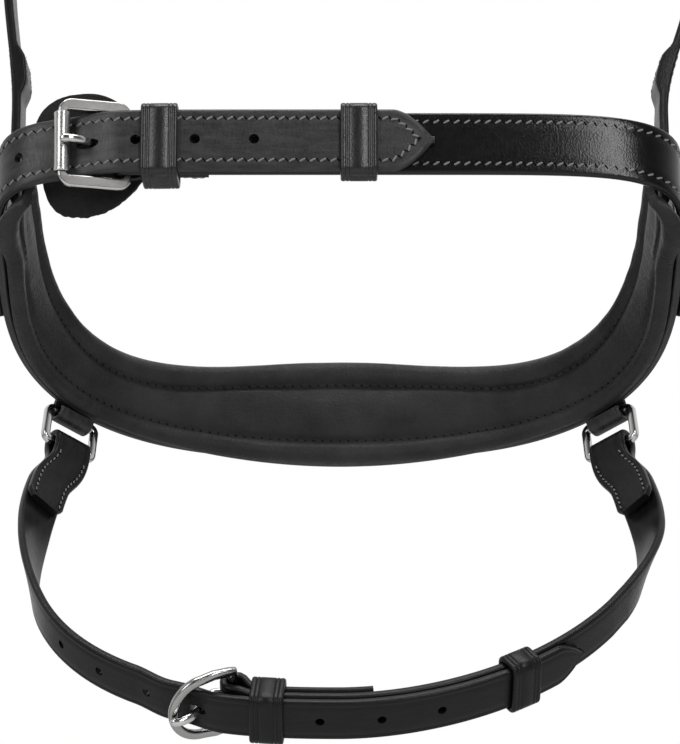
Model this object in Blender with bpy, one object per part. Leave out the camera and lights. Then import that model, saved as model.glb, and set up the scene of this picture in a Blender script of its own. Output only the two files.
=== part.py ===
"""Bridle: padded noseband with a jaw strap, a flash strap on two rings and its headpiece.

Units are metres, +Z is up and +X is the wearer's right as seen from behind the jaw.
The origin is under the middle of the headpiece, where the poll carries the bridle.
Every strap is placed on a route by arc length s, with q outward from the route
and w across it, so that what is stitched, threaded or buckled follows the same line.
"""

import math
from dataclasses import dataclass

import bmesh
import bpy
from mathutils import Matrix, Vector

MM = 0.001
GAP = 0.3 * MM
UP = Vector((0, 0, 1))
RIGHT = Vector((1, 0, 0))

# Noseband ring: the line between the soft lining and the outer leather
JAW_DROP = 400 * MM
JAW_BEHIND = 24 * MM
JAW_MIDDLE = Vector((0, -JAW_BEHIND, -JAW_DROP))
RING_HALF_WIDTH = 116 * MM
RING_NEAR_DEPTH = 43 * MM
RING_FAR_DEPTH = 85 * MM
RING_NEAR_SQUARENESS = 6.6
RING_FAR_SQUARENESS = 2.63
RING_DROP = 63 * MM
RING_DROP_POWER = 1.15
RING_SIDE_LEAN = -14.0

# Outer leather and lining over the nose
NOSE_LEATHER_WIDTH = 32 * MM
NOSE_LEATHER_THICKNESS = 3.4 * MM
NOSE_LEATHER_START_Y = 38 * MM
NOSE_LEATHER_GROWTH = 140 * MM
PAD_WIDTH = 41 * MM
PAD_THICKNESS = 9 * MM
PAD_SIDE_WIDTH = 28 * MM
PAD_SIDE_AT = 95 * MM
PAD_START_Y = 17 * MM
PAD_LIFT_UNTIL_Y = 37 * MM
PAD_LIFT_RAMP = 22 * MM
PAD_PLAY = 0.5 * MM
PAD_CHANNEL_AT = 11.5 * MM
PAD_CHANNEL_DEPTH = 3.2 * MM

# Jaw strap
JAW_WIDTH = 22 * MM
JAW_BILLET_THICKNESS = 3.2 * MM
JAW_STRAP_THICKNESS = 3.0 * MM
JAW_LAP_Y = 66 * MM
JAW_LAP_RAMP_Y = 22 * MM
JAW_HINGE_AT = -72.5 * MM
JAW_TIP_AT = 32 * MM
JAW_TIP_LENGTH = 14 * MM
JAW_FIRST_HOLE_AT = -29 * MM
JAW_HOLE_COUNT = 6
JAW_HOLE_PITCH = 20 * MM
JAW_HOLE_RADIUS = 1.9 * MM
JAW_TURN_BACK = 28 * MM
JAW_BUCKLE_SPAN = 22.5 * MM
JAW_BUCKLE_TILT = 18.0
JAW_BUCKLE_RAIL = 4.2 * MM
JAW_BUCKLE_CORNER = 5 * MM
JAW_ROLLER_RADIUS = 2.8 * MM
JAW_FIXED_KEEPER_AT = -61 * MM
JAW_SLIDING_KEEPER_AT = 6.4 * MM
JAW_KEEPER_LENGTH = 12.5 * MM

# Soft guard behind the jaw buckle
GUARD_START = -107 * MM
GUARD_END = -46 * MM
GUARD_HEIGHT = 44 * MM
GUARD_NECK = 19 * MM
GUARD_RISE = 0.6 * MM
GUARD_THICKNESS = 2.6 * MM
GUARD_PLAY = 0.9 * MM

# Flash strap, its rings and tabs
FLASH_WIDTH = 15.5 * MM
FLASH_THICKNESS = 2.8 * MM
FLASH_DROP = 191.2 * MM
FLASH_FORWARD = 4 * MM
FLASH_OUTSET = 7.6 * MM
FLASH_SQUARENESS_LEFT = 2.5
FLASH_SQUARENESS_RIGHT = 1.84
FLASH_WAIST = 0.34
FLASH_UNTWIST_START = 0.54
FLASH_UNTWIST_END = 0.88
FLASH_HINGE_AT = -30.5 * MM
FLASH_TIP_AT = 90 * MM
FLASH_TIP_LENGTH = 11 * MM
FLASH_FIRST_HOLE_AT = 36.3 * MM
FLASH_HOLE_COUNT = 8
FLASH_HOLE_PITCH = 19 * MM
FLASH_HOLE_RADIUS = 1.5 * MM
FLASH_TURN_BACK = 46 * MM
FLASH_RING_TURN_BACK = 39 * MM
FLASH_RETURN_RUN = 12 * MM
FLASH_STRAP_RUN = 14 * MM
FLASH_END_BLEND = 30 * MM
FLASH_LAP_LENGTH = 20 * MM
FLASH_BUCKLE_SPAN = 21 * MM
FLASH_BUCKLE_TILT = 34.0
FLASH_BUCKLE_WIRE = 1.6 * MM
FLASH_HINGE_SINK = 2.0 * MM
FLASH_FIXED_KEEPER_AT = -18.5 * MM
FLASH_SLIDING_KEEPER_AT = 65 * MM
FLASH_KEEPER_LENGTH = 11 * MM
TAB_FROM_FRONT = 24 * MM
TAB_WIDTH = 15 * MM
TAB_THICKNESS = 1.7 * MM
TAB_REACH = 2.8 * MM
RING_WIRE = 1.5 * MM
RING_INNER_WIDTH = 18.5 * MM
RING_INNER_HEIGHT = 10.5 * MM
RING_CORNER = 2.0 * MM
RING_LEAD = 26 * MM
RING_LEAN = 18.0
RING_PLAY = 0.9 * MM

# Headpiece that carries the noseband over the poll
HEAD_WIDTH = 16 * MM
HEAD_THICKNESS = 3.2 * MM
HEAD_FOOT_INSET = 4.8 * MM
HEAD_OUTSET_LEFT = 0.5 * MM
HEAD_OUTSET_RIGHT = 9 * MM
HEAD_ARCH_HEIGHT = 120 * MM
HEAD_SQUARENESS = 2.2
HEAD_LEAN_HEIGHT = 60 * MM
HEAD_FOOT_BELOW = 29 * MM
HEAD_DOUBLED_FROM = 46 * MM
HEAD_DOUBLED_TO = 67 * MM
HEAD_DOUBLED_EXTRA = 2.4 * MM
HEAD_DOUBLED_RAMP = 7 * MM
HEAD_HINGE_FROM_POLL = 262 * MM
HEAD_TIP_BEYOND = 78 * MM
HEAD_TIP_LENGTH = 11 * MM
HEAD_HOLE_COUNT = 5
HEAD_HOLE_PITCH = 20 * MM
HEAD_FIRST_HOLE_BEYOND = 36 * MM
HEAD_TURN_BACK = 30 * MM
HEAD_BUCKLE_SPAN = 17.5 * MM
HEAD_BUCKLE_TILT = 28.0
HEAD_FIXED_KEEPER_BEYOND = 13 * MM
HEAD_SLIDING_KEEPER_BEYOND = 58 * MM
HEAD_KEEPER_LENGTH = 9 * MM
POLL_PAD_LENGTH = 150 * MM
POLL_PAD_WIDTH = 40 * MM
POLL_PAD_THICKNESS = 7 * MM
POLL_PAD_FACETS = 15

# Common details
FOLD_THICKNESS = 2.4 * MM
FOLD_PLAY = 0.55 * MM
FOLD_RUN = 6.5 * MM
HORSESHOE_STRAIGHT = 0.52
HORSESHOE_SHOULDER = 0.22
HORSESHOE_SIDE_PLAY = 1.8 * MM
HINGE_BAR_RADIUS = 1.5 * MM
TONGUE_RADIUS = 1.2 * MM
KEEPER_WALL = 1.6 * MM
KEEPER_PLAY = 0.45 * MM
EDGE_ROUNDING = 0.7 * MM


@dataclass
class Frame:
    """A place on a route with its three directions."""

    origin: Vector
    along: Vector
    across: Vector
    outward: Vector

    def point(self, along=0.0, outward=0.0, across=0.0):
        return self.origin + self.along * along + self.outward * outward + self.across * across

    def matrix(self, x, y, z):
        """Place local X, Y and Z on the three given directions."""
        rotation = Matrix((x, y, z)).transposed().to_4x4()
        return Matrix.Translation(self.origin) @ rotation

    def flat(self):
        """Local X runs along the strap, Y across it and Z outward."""
        return self.matrix(self.along, self.across, self.outward)

    def upright(self):
        """Local X runs across the strap, Y outward and Z along it."""
        return self.matrix(self.across, self.outward, self.along)


class Route:
    """A line in space with a direction across it, measured by its length."""

    def __init__(self, points, across, closed=False):
        self.points = points
        self.across = across
        self.lengths = [0.0]
        for a, b in zip(points, points[1:]):
            self.lengths.append(self.lengths[-1] + (b - a).length)
        self.length = self.lengths[-1]
        self.closed = closed
        self.zero = 0.0

    def _look_up(self, s):
        t = s + self.zero
        if self.closed:
            t %= self.length
        low, high = 0, len(self.lengths) - 1
        while high - low > 1:
            mid = (low + high) // 2
            if self.lengths[mid] <= t:
                low = mid
            else:
                high = mid
        share = (t - self.lengths[low]) / (self.lengths[high] - self.lengths[low])
        inside = min(max(share, 0.0), 1.0)
        return (self.points[low] + (self.points[high] - self.points[low]) * share,
                self.across[low].lerp(self.across[high], inside))

    def at(self, s, reach=1.5 * MM):
        """The frame at arc length s, with outward square to the strap's face."""
        origin, hint = self._look_up(s)
        along = (self._look_up(s + reach)[0] - self._look_up(s - reach)[0]).normalized()
        outward = along.cross(hint).normalized()
        return Frame(origin, along, outward.cross(along), outward)

    def place(self, s, q=0.0, w=0.0):
        frame = self.at(s)
        return frame.point(0.0, q, w)

    def bend_centre(self, s, reach=12 * MM):
        """Centre of the bend at s, on the strap's inner side."""
        frame = self.at(s)
        turn = self.at(s - reach).along.angle(self.at(s + reach).along)
        return frame.point(0.0, -2 * reach / turn)

    def find(self, test, start, step):
        """Walk from start until test(point) holds, and give that arc length."""
        s = start
        while not test(self.place(s)):
            s += step
        return s


@dataclass
class Station:
    """One cross-section of a strap: where it lies and how big it is."""

    s: float
    q: float
    width: float
    thickness: float
    w: float = 0.0


def ease(value):
    """Smooth step from 0 to 1."""
    value = min(max(value, 0.0), 1.0)
    return value * value * (3 - 2 * value)


def superellipse(angle, half_x, half_y, squareness):
    """A point of a squared ellipse at the given angle."""
    c, s = math.cos(angle), math.sin(angle)
    power = 2.0 / squareness
    return (math.copysign(abs(c) ** power, c) * half_x,
            math.copysign(abs(s) ** power, s) * half_y)


def spread(start, end, step):
    """Evenly spaced values from start to end, no further apart than step."""
    count = max(1, math.ceil(abs(end - start) / step))
    return [start + (end - start) * i / count for i in range(count + 1)]


def paced(route, start, end, longest=12 * MM, shortest=2.2 * MM, turn=10.0):
    """Arc lengths from start to end, closer together where the route bends."""
    sign = 1 if end > start else -1
    places = [start]
    while abs(end - places[-1]) > shortest:
        s = places[-1]
        first = route.at(s).along
        step = shortest
        while step < longest and first.angle(route.at(s + sign * step).along) < math.radians(turn):
            step += 1 * MM
        places.append(s + sign * min(step, abs(end - s)))
    places[-1] = end
    return places


def ring_route():
    """The closed line of the noseband, with s = 0 at the middle of the jaw strap."""
    count = 720
    points = []
    for i in range(count + 1):
        angle = -math.pi / 2 + 2 * math.pi * i / count
        near = math.sin(angle) < 0
        depth = RING_NEAR_DEPTH if near else RING_FAR_DEPTH
        squareness = RING_NEAR_SQUARENESS if near else RING_FAR_SQUARENESS
        x, y = superellipse(angle, RING_HALF_WIDTH, depth, squareness)
        y += RING_NEAR_DEPTH
        forward = y / (RING_NEAR_DEPTH + RING_FAR_DEPTH)
        z = -RING_DROP * (1 - max(0.0, 1 - forward) ** RING_DROP_POWER)
        points.append(JAW_MIDDLE + Vector((x, y, z)))
    route = Route(points, [UP] * len(points), closed=True)
    route.across = [leaned(route, i) for i in range(len(points))]
    return route


def leaned(route, index):
    """The band's width direction, tipped inward at the top towards the sides of the nose."""
    frame = route.at(route.lengths[index])
    offset = frame.origin - JAW_MIDDLE
    forward = offset.y / (RING_NEAR_DEPTH + RING_FAR_DEPTH)
    angle = math.radians(RING_SIDE_LEAN) * (offset.x / RING_HALF_WIDTH) ** 2 * forward
    return frame.across * math.cos(angle) + frame.outward * math.sin(angle)


def head_route():
    """The headpiece from the right foot over the poll to the left foot, s = 0 at the poll."""
    foot_z = JAW_MIDDLE.z - HEAD_FOOT_BELOW
    foot_x = RING_HALF_WIDTH - HEAD_FOOT_INSET
    lean_from = JAW_MIDDLE.z + JAW_WIDTH / 2
    halves = []
    for outset in (HEAD_OUTSET_RIGHT, HEAD_OUTSET_LEFT):
        half_width = RING_HALF_WIDTH + outset
        half = []
        for z in spread(foot_z, -HEAD_ARCH_HEIGHT, 2 * MM)[:-1]:
            lean = ease((z - lean_from) / HEAD_LEAN_HEIGHT)
            half.append(Vector((foot_x + (half_width - foot_x) * lean, 0, z)))
        for i in range(91):
            x, z = superellipse(math.pi * i / 180, half_width, HEAD_ARCH_HEIGHT, HEAD_SQUARENESS)
            half.append(Vector((x, 0, z - HEAD_ARCH_HEIGHT)))
        halves.append(half)
    right, left = halves
    points = right + [Vector((-p.x, p.y, p.z)) for p in reversed(left[:-1])]
    route = Route(points, [Vector((0, -1, 0))] * len(points))
    route.zero = route.lengths[len(right) - 1]
    seat = route.place(POLL_PAD_LENGTH / POLL_PAD_FACETS / 2).z
    route.points = [p + UP * (POLL_PAD_THICKNESS + GAP - seat) for p in points]
    return route


def ring_bars(ring, side):
    """The upper and lower bar of a flash ring: centres, bar direction and hang direction."""
    foot = ring.at(tab_at(ring, side))
    bar_q = NOSE_LEATHER_THICKNESS + 3 * GAP - RING_WIRE - RING_PLAY
    upper = foot.point(0.0, bar_q, -(PAD_SIDE_WIDTH / 2 + TAB_REACH))
    bar = foot.along * side
    lean = math.radians(RING_LEAN)
    hang = Vector((0, -math.sin(lean), -math.cos(lean)))
    hang = (hang - bar * hang.dot(bar)).normalized()
    lower = upper + hang * (RING_INNER_HEIGHT + 2 * RING_WIRE)
    return upper, lower, bar, hang


def tab_at(ring, side):
    """Arc length of the ring tab on one side, side = -1 left and +1 right."""
    level = JAW_MIDDLE.y + RING_NEAR_DEPTH + RING_FAR_DEPTH - TAB_FROM_FRONT
    return ring.find(lambda p: p.y > level and p.x * side > 0, side * 150 * MM, side * MM)


def lead_in(point, ring_bar):
    """Let the flash strap leave its ring square to the bar."""
    _, start, _, hang = ring_bar
    distance = (point - start).length
    if distance > RING_LEAD:
        return point
    return (start + hang * distance).lerp(point, ease(distance / RING_LEAD))


def flash_route(ring):
    """The flash strap from the left ring's lower bar to the right one's, s = 0 nearest the jaw."""
    left_bar = ring_bars(ring, -1)
    right_bar = ring_bars(ring, 1)
    top = (left_bar[1] + right_bar[1]) / 2
    ring_x = right_bar[1].x
    half_width = ring_x + FLASH_OUTSET
    near = JAW_MIDDLE + Vector((0, FLASH_FORWARD, -FLASH_DROP))
    down = near - top
    depth = down.length
    down.normalize()
    loop_normal = down.cross(RIGHT).normalized()
    waist = depth * FLASH_WAIST
    points, across = [], []
    low_steps, high_steps = 180, 30
    squeeze = math.sqrt(1 - (ring_x / half_width) ** 2)
    half_up = waist / squeeze
    highest = math.asin(squeeze)
    for i in range(high_steps):
        angle = math.pi - highest * (1 - i / high_steps)
        x, rise = superellipse(angle, half_width, half_up, 2.0)
        points.append(top + RIGHT * x + down * (waist - rise))
    for i in range(low_steps + 1):
        angle = math.pi + math.pi * i / low_steps
        squareness = FLASH_SQUARENESS_LEFT if 2 * i < low_steps else FLASH_SQUARENESS_RIGHT
        x, rise = superellipse(angle, half_width, depth - waist, squareness)
        points.append(top + RIGHT * x + down * (waist - rise))
    points += [Vector((2 * top.x - p.x, p.y, p.z)) for p in reversed(points[:high_steps])]
    points = [lead_in(p, left_bar) for p in points]
    points = [lead_in(p, right_bar) for p in points]
    line = Route(points, [loop_normal] * len(points))
    for i, length in enumerate(line.lengths):
        offset = length / line.length * 2 - 1
        bar = (left_bar if offset < 0 else right_bar)[2]
        turned = -bar
        share = ease((abs(offset) - FLASH_UNTWIST_START) / (FLASH_UNTWIST_END - FLASH_UNTWIST_START))
        across.append(loop_normal.lerp(turned, share).normalized())
    line.across = across
    line.zero = line.length / 2
    return line


def new_material(name, colour, roughness, metallic=0.0):
    """A plain Principled finish."""
    material = bpy.data.materials.new(name)
    material.use_nodes = True
    shader = material.node_tree.nodes["Principled BSDF"]
    shader.inputs["Base Color"].default_value = (*colour, 1.0)
    shader.inputs["Roughness"].default_value = roughness
    shader.inputs["Metallic"].default_value = metallic
    material.diffuse_color = (*colour, 1.0)
    return material


class Bench:
    """Holds the collections and makes objects from meshes, curves and cutters."""

    def __init__(self):
        for old in list(bpy.data.objects):
            bpy.data.objects.remove(old, do_unlink=True)
        self.parts = bpy.data.collections.new("bridle")
        self.cutters = bpy.data.collections.new("cutters")
        for collection in (self.parts, self.cutters):
            bpy.context.scene.collection.children.link(collection)

    def add(self, name, mesh, finish, smooth=35.0, pivot=None):
        """Link a finished mesh as one part, with its own origin if it moves."""
        if pivot is not None:
            mesh.transform(Matrix.Translation(-pivot))
        part = bpy.data.objects.new(name, mesh)
        if pivot is not None:
            part.location = pivot
        colour, roughness, metallic = finish
        mesh.materials.clear()
        mesh.materials.append(new_material(name + "_finish", colour, roughness, metallic))
        mesh.shade_smooth()
        mesh.set_sharp_from_angle(angle=math.radians(smooth))
        self.parts.objects.link(part)
        return part

    def cut(self, part, mesh, name, operation="DIFFERENCE"):
        """Cut a part by a closed mesh given in world space."""
        cutter = bpy.data.objects.new(name, mesh)
        cutter.display_type = "WIRE"
        cutter.hide_render = True
        self.cutters.objects.link(cutter)
        modifier = part.modifiers.new(name, "BOOLEAN")
        modifier.operation = operation
        modifier.solver = "EXACT"
        modifier.object = cutter
        return modifier


LEATHER = ((0.020, 0.020, 0.021), 0.42, 0.0)
SOFT_LEATHER = ((0.026, 0.026, 0.027), 0.62, 0.0)
SUEDE = ((0.016, 0.016, 0.016), 0.9, 0.0)
STEEL = ((0.58, 0.57, 0.56), 0.28, 1.0)


def mesh_from(name, build):
    """Run a bmesh builder and return its mesh with the faces pointing out."""
    bm = bmesh.new()
    build(bm)
    bmesh.ops.recalc_face_normals(bm, faces=bm.faces)
    mesh = bpy.data.meshes.new(name)
    bm.to_mesh(mesh)
    bm.free()
    return mesh


def loft(name, sections):
    """Skin a row of like sections and close both ends."""
    def build(bm):
        rows = [[bm.verts.new(p) for p in section] for section in sections]
        count = len(rows[0])
        for a, b in zip(rows, rows[1:]):
            for i in range(count):
                j = (i + 1) % count
                bm.faces.new((a[i], a[j], b[j], b[i]))
        bm.faces.new(rows[0])
        bm.faces.new(rows[-1])
    return mesh_from(name, build)


def mesh_of_curve(name, curve, matrix):
    """Turn a curve into a welded mesh in world space."""
    holder = bpy.data.objects.new(name, curve)
    bpy.context.scene.collection.objects.link(holder)
    bpy.context.view_layer.update()
    evaluated = holder.evaluated_get(bpy.context.evaluated_depsgraph_get())
    mesh = bpy.data.meshes.new_from_object(evaluated)
    bpy.data.objects.remove(holder, do_unlink=True)
    bm = bmesh.new()
    bm.from_mesh(mesh)
    bmesh.ops.remove_doubles(bm, verts=bm.verts, dist=0.00002)
    bmesh.ops.transform(bm, matrix=matrix, verts=bm.verts)
    bmesh.ops.recalc_face_normals(bm, faces=bm.faces)
    bm.to_mesh(mesh)
    bm.free()
    return mesh


def wire_mesh(name, points, radius, closed=False, radii=None, sides=2, matrix=None):
    """A round bar along points, tapered by radii where these are given."""
    curve = bpy.data.curves.new(name, "CURVE")
    curve.dimensions = "3D"
    curve.bevel_depth = radius
    curve.bevel_resolution = sides
    curve.use_fill_caps = True
    spline = curve.splines.new("POLY")
    spline.points.add(len(points) - 1)
    for i, p in enumerate(points):
        spline.points[i].co = (*p, 1.0)
        spline.points[i].radius = radii[i] if radii else 1.0
    spline.use_cyclic_u = closed
    return mesh_of_curve(name, curve, matrix or Matrix.Identity(4))


def plate_mesh(name, outlines, thickness, matrix, rounding=0.0):
    """A flat outline, with any holes, of the given thickness and rounded edges."""
    curve = bpy.data.curves.new(name, "CURVE")
    curve.dimensions = "2D"
    curve.fill_mode = "BOTH"
    curve.extrude = thickness / 2 - rounding
    curve.bevel_depth = rounding
    curve.bevel_resolution = 0
    curve.offset = -rounding
    for outline in outlines:
        spline = curve.splines.new("POLY")
        spline.points.add(len(outline) - 1)
        for i, (x, y) in enumerate(outline):
            spline.points[i].co = (x, y, 0.0, 1.0)
        spline.use_cyclic_u = True
    return mesh_of_curve(name, curve, matrix)


def rounded_rectangle(left, right, low, high, corner, steps=4):
    """Outline of a rectangle with round corners, anticlockwise."""
    outline = []
    centres = ((right - corner, high - corner), (left + corner, high - corner),
               (left + corner, low + corner), (right - corner, low + corner))
    for turn, (x, y) in enumerate(centres):
        for i in range(steps + 1):
            angle = math.pi / 2 * (turn + i / steps)
            outline.append((x + corner * math.cos(angle), y + corner * math.sin(angle)))
    return outline


def arc(centre_x, centre_y, radius, start, end, steps):
    """Points of an arc, angles in degrees."""
    points = []
    for i in range(steps + 1):
        angle = math.radians(start + (end - start) * i / steps)
        points.append((centre_x + radius * math.cos(angle), centre_y + radius * math.sin(angle)))
    return points


def strap_section(width, thickness):
    """Half widths of a strap's section with eased edges, as (across, outward) pairs."""
    edge = min(EDGE_ROUNDING, thickness * 0.3, width * 0.3)
    w, t = width / 2, thickness / 2
    return [(-w + edge, -t), (w - edge, -t), (w, -t + edge), (w, t - edge),
            (w - edge, t), (-w + edge, t), (-w, t - edge), (-w, -t + edge)]


def strap_mesh(name, route, stations, section=strap_section):
    """Loft a strap through its stations."""
    centres = [route.place(st.s, st.q, st.w) for st in stations]
    sections = []
    for i, station in enumerate(stations):
        before = centres[max(i - 1, 0)]
        after = centres[min(i + 1, len(centres) - 1)]
        along = (after - before).normalized()
        normal = along.cross(route.at(station.s).across).normalized()
        across = normal.cross(along)
        sections.append([centres[i] + across * a + normal * b
                         for a, b in section(station.width, station.thickness)])
    return loft(name, sections)


def tip_width(full, s, tip, length):
    """Width of a strap that runs to a rounded point at tip."""
    if s <= tip - length:
        return full
    share = (s - (tip - length)) / length
    return full * max(0.12, 1 - share ** 1.7)


def hole_cutters(route, places, radius, q, depth, slot_place=None, slot_length=0.0):
    """Round punches through a strap, and one long one where the tongue passes."""
    def build(bm):
        for s in places:
            frame = route.at(s)
            stretch = 1.0
            if slot_place is not None and abs(s - slot_place) < 1e-6:
                stretch = slot_length / (2 * radius)
            matrix = Matrix.Translation(frame.outward * q(s)) @ frame.flat()
            matrix = matrix @ Matrix.Diagonal((stretch, 1.0, 1.0, 1.0))
            bmesh.ops.create_cone(bm, cap_ends=True, segments=14, radius1=radius,
                                  radius2=radius, depth=depth, matrix=matrix)
    return mesh_from("punches", build)


@dataclass
class Closure:
    """A buckle with its tongue and keepers, on a route where the billet's tip runs to higher s."""

    name: str
    route: Route
    width: float
    billet_thickness: float
    strap_thickness: float
    hinge_at: float
    span: float
    tilt: float
    bar_radius: float
    lead_q: float
    sink: float = 0.0
    shoulder: float = 0.0
    tip_length: float = 12 * MM

    def __post_init__(self):
        self.wrap = HINGE_BAR_RADIUS + FOLD_PLAY + FOLD_THICKNESS
        self.hinge_q = self.strap_thickness - self.wrap - self.sink
        tilt = math.radians(self.tilt)
        self.bar_at = self.hinge_at - self.span * math.cos(tilt)
        self.bar_q = self.hinge_q + self.span * math.sin(tilt)
        self.over_q = self.strap_thickness + GAP + self.billet_thickness / 2
        dip = self.shoulder * self.span * math.sin(tilt)
        self.under_q = self.bar_q - self.bar_radius - GAP - dip - self.billet_thickness / 2

    def billet_q(self, s):
        """Height of the billet's middle over the route."""
        before = ease((s - (self.bar_at - 16 * MM)) / (14 * MM))
        first = self.lead_q + (self.under_q - self.lead_q) * before
        rise = ease((s - self.bar_at - 1.5 * MM) / (self.hinge_at - self.bar_at - 3 * MM))
        return first + (self.over_q - first) * rise

    def billet_places(self, start, tip):
        """Arc lengths of the billet's stations, closer at the buckle and the tip."""
        places = paced(self.route, start, self.bar_at - 16 * MM)
        places += spread(places[-1], self.hinge_at + 3 * MM, 2.6 * MM)[1:]
        places += paced(self.route, places[-1], tip - self.tip_length)[1:]
        places += spread(places[-1], tip, 2 * MM)[1:]
        return places

    def fold_stations(self, turn_back):
        """The buckle strap's end: round the hinge bar and back along its inner side."""
        rest_q = self.strap_thickness / 2
        middle = self.wrap - FOLD_THICKNESS / 2
        stations = []
        for s in spread(self.hinge_at + 12 * MM, self.hinge_at + MM, 2.4 * MM):
            share = ease((self.hinge_at + HINGE_BAR_RADIUS + FOLD_RUN - s) / FOLD_RUN)
            q = rest_q + (self.hinge_q + middle - rest_q) * share
            thickness = self.strap_thickness + (FOLD_THICKNESS - self.strap_thickness) * share
            stations.append(Station(s, q, self.width, thickness))
        for x, y in arc(0, 0, middle, 90, 270, 10):
            stations.append(Station(self.hinge_at + x, self.hinge_q + y, self.width, FOLD_THICKNESS))
        for s in spread(self.hinge_at + 1.6 * MM, self.hinge_at + FOLD_RUN + 2 * MM, 2.2 * MM):
            stations.append(Station(s, self.return_q(s), self.width, FOLD_THICKNESS))
        for s in paced(self.route, stations[-1].s, self.hinge_at + turn_back)[1:]:
            stations.append(Station(s, self.return_q(s), self.width, FOLD_THICKNESS))
        return stations

    def return_q(self, s):
        """Height of the middle of the strap's turned-back end."""
        at_bar = self.hinge_q - self.wrap + FOLD_THICKNESS / 2
        sewn = -GAP - FOLD_THICKNESS / 2
        return at_bar + (sewn - at_bar) * ease((s - self.hinge_at - HINGE_BAR_RADIUS) / FOLD_RUN)

    def layers_low(self, at, length):
        """How deep the turned-back end lies under a keeper."""
        return self.return_q(at - length / 2) - FOLD_THICKNESS / 2 - GAP / 2

    def buckle_strap(self, bench, name, far, turn_back, far_stations, pivot=None):
        """The strap that carries the buckle, with the slot for the tongue."""
        stations = list(far_stations)
        for s in paced(self.route, far, self.hinge_at + 14 * MM):
            stations.append(Station(s, self.strap_thickness / 2, self.width, self.strap_thickness))
        stations += self.fold_stations(turn_back)
        part = bench.add(name, strap_mesh(name, self.route, stations), LEATHER, pivot=pivot)
        frame = self.route.at(self.hinge_at)
        slot_width = 2 * TONGUE_RADIUS + 1.2 * MM
        slot_length = 2 * self.wrap + 3 * MM
        def build(bm):
            size = Matrix.Diagonal((slot_length, slot_width, slot_length * 1.2, 1.0))
            shift = Matrix.Translation(frame.outward * self.hinge_q - frame.along * MM)
            bmesh.ops.create_cube(bm, size=1.0, matrix=shift @ frame.flat() @ size)
        bench.cut(part, mesh_from(name + "_slot", build), name + "_slot")
        return part

    def billet(self, bench, name, start, tip, lead_stations, holes, pivot=None):
        """The strap with holes, threaded under the outer bar and over the hinge."""
        stations = list(lead_stations)
        for s in self.billet_places(start, tip):
            width = tip_width(self.width, s, tip, self.tip_length)
            stations.append(Station(s, self.billet_q(s), width, self.billet_thickness))
        part = bench.add(name, strap_mesh(name, self.route, stations), LEATHER, pivot=pivot)
        first_hole, pitch, count, radius = holes
        places = [first_hole - i * pitch for i in range(count)]
        tongue_hole = self.tongue_hole()
        nearest = min(places, key=lambda s: abs(s - tongue_hole))
        places = [tongue_hole if s == nearest else s for s in places]
        cutter = hole_cutters(self.route, places, radius, self.billet_q,
                              3 * self.billet_thickness, tongue_hole,
                              2 * (TONGUE_RADIUS + radius) + 2.2 * MM)
        bench.cut(part, cutter, name + "_holes")
        return part

    def tongue_points(self):
        """The tongue's middle line as (along, outward) from the hinge bar."""
        eye = HINGE_BAR_RADIUS + FOLD_PLAY + TONGUE_RADIUS
        points = arc(0, 0, eye, -30, 235, 12)
        reach = self.hinge_at - self.bar_at
        lift = self.bar_q - self.hinge_q
        clear = self.bar_radius + GAP + TONGUE_RADIUS * 0.8 + 0.1 * MM
        points += [(-reach * 0.36, -eye * 0.62), (-reach * 0.50, eye * 0.12),
                   (-reach * 0.66, (lift + clear) * 0.52), (-reach * 0.84, (lift + clear) * 0.90),
                   (-reach, lift + clear), (-reach - self.bar_radius, lift + clear - 0.3 * MM)]
        return points

    def tongue_hole(self):
        """Arc length where the tongue comes up through the billet."""
        return self.hinge_at - 0.60 * (self.hinge_at - self.bar_at)

    def tongue(self, bench, name):
        """The tongue, curled round the hinge bar and resting on the outer bar."""
        frame = self.route.at(self.hinge_at)
        points = [frame.point(x, self.hinge_q + y) for x, y in self.tongue_points()]
        radii = [1.0] * (len(points) - 3) + [0.92, 0.8, 0.55]
        mesh = wire_mesh(name, points, TONGUE_RADIUS, radii=radii, sides=2)
        return bench.add(name, mesh, STEEL, pivot=self.hinge_axis())

    def hinge_axis(self):
        return self.route.at(self.hinge_at).point(0.0, self.hinge_q)

    def buckle_matrix(self):
        """Local X runs from the hinge bar to the outer bar, tilted outward."""
        frame = self.route.at(self.hinge_at)
        turn = Matrix.Rotation(math.radians(self.tilt), 4, "Y")
        shift = Matrix.Translation(frame.outward * self.hinge_q)
        flip = Matrix.Diagonal((-1.0, 1.0, 1.0, 1.0))
        return shift @ frame.flat() @ turn @ flip

    def keeper(self, bench, name, at, length, low, high, pivot=None):
        """A leather loop round the layers from low to high."""
        frame = self.route.at(at)
        half = self.width / 2 + KEEPER_PLAY
        inner = rounded_rectangle(-half, half, low - KEEPER_PLAY, high + KEEPER_PLAY, 0.8 * MM, 2)
        wall = KEEPER_WALL
        outer = rounded_rectangle(-half - wall, half + wall, low - KEEPER_PLAY - wall,
                                  high + KEEPER_PLAY + wall, 0.8 * MM + wall, 3)
        mesh = plate_mesh(name, [outer, inner], length, frame.upright(), 0.4 * MM)
        return bench.add(name, mesh, LEATHER, pivot=pivot or frame.origin)


def square_buckle(bench, closure, name, rail, corner):
    """Flat square frame with a thin bar at each end, for a roller and a hinge."""
    half = closure.width / 2 + 0.6 * MM
    bar = HINGE_BAR_RADIUS
    outer = rounded_rectangle(-bar, closure.span + bar, -half - rail, half + rail, corner)
    inner = rounded_rectangle(bar, closure.span - bar, -half, half, 1.2 * MM, 2)
    mesh = plate_mesh(name, [outer, inner], 2 * bar, closure.buckle_matrix(), 0.6 * MM)
    return bench.add(name, mesh, STEEL, pivot=closure.hinge_axis())


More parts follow.
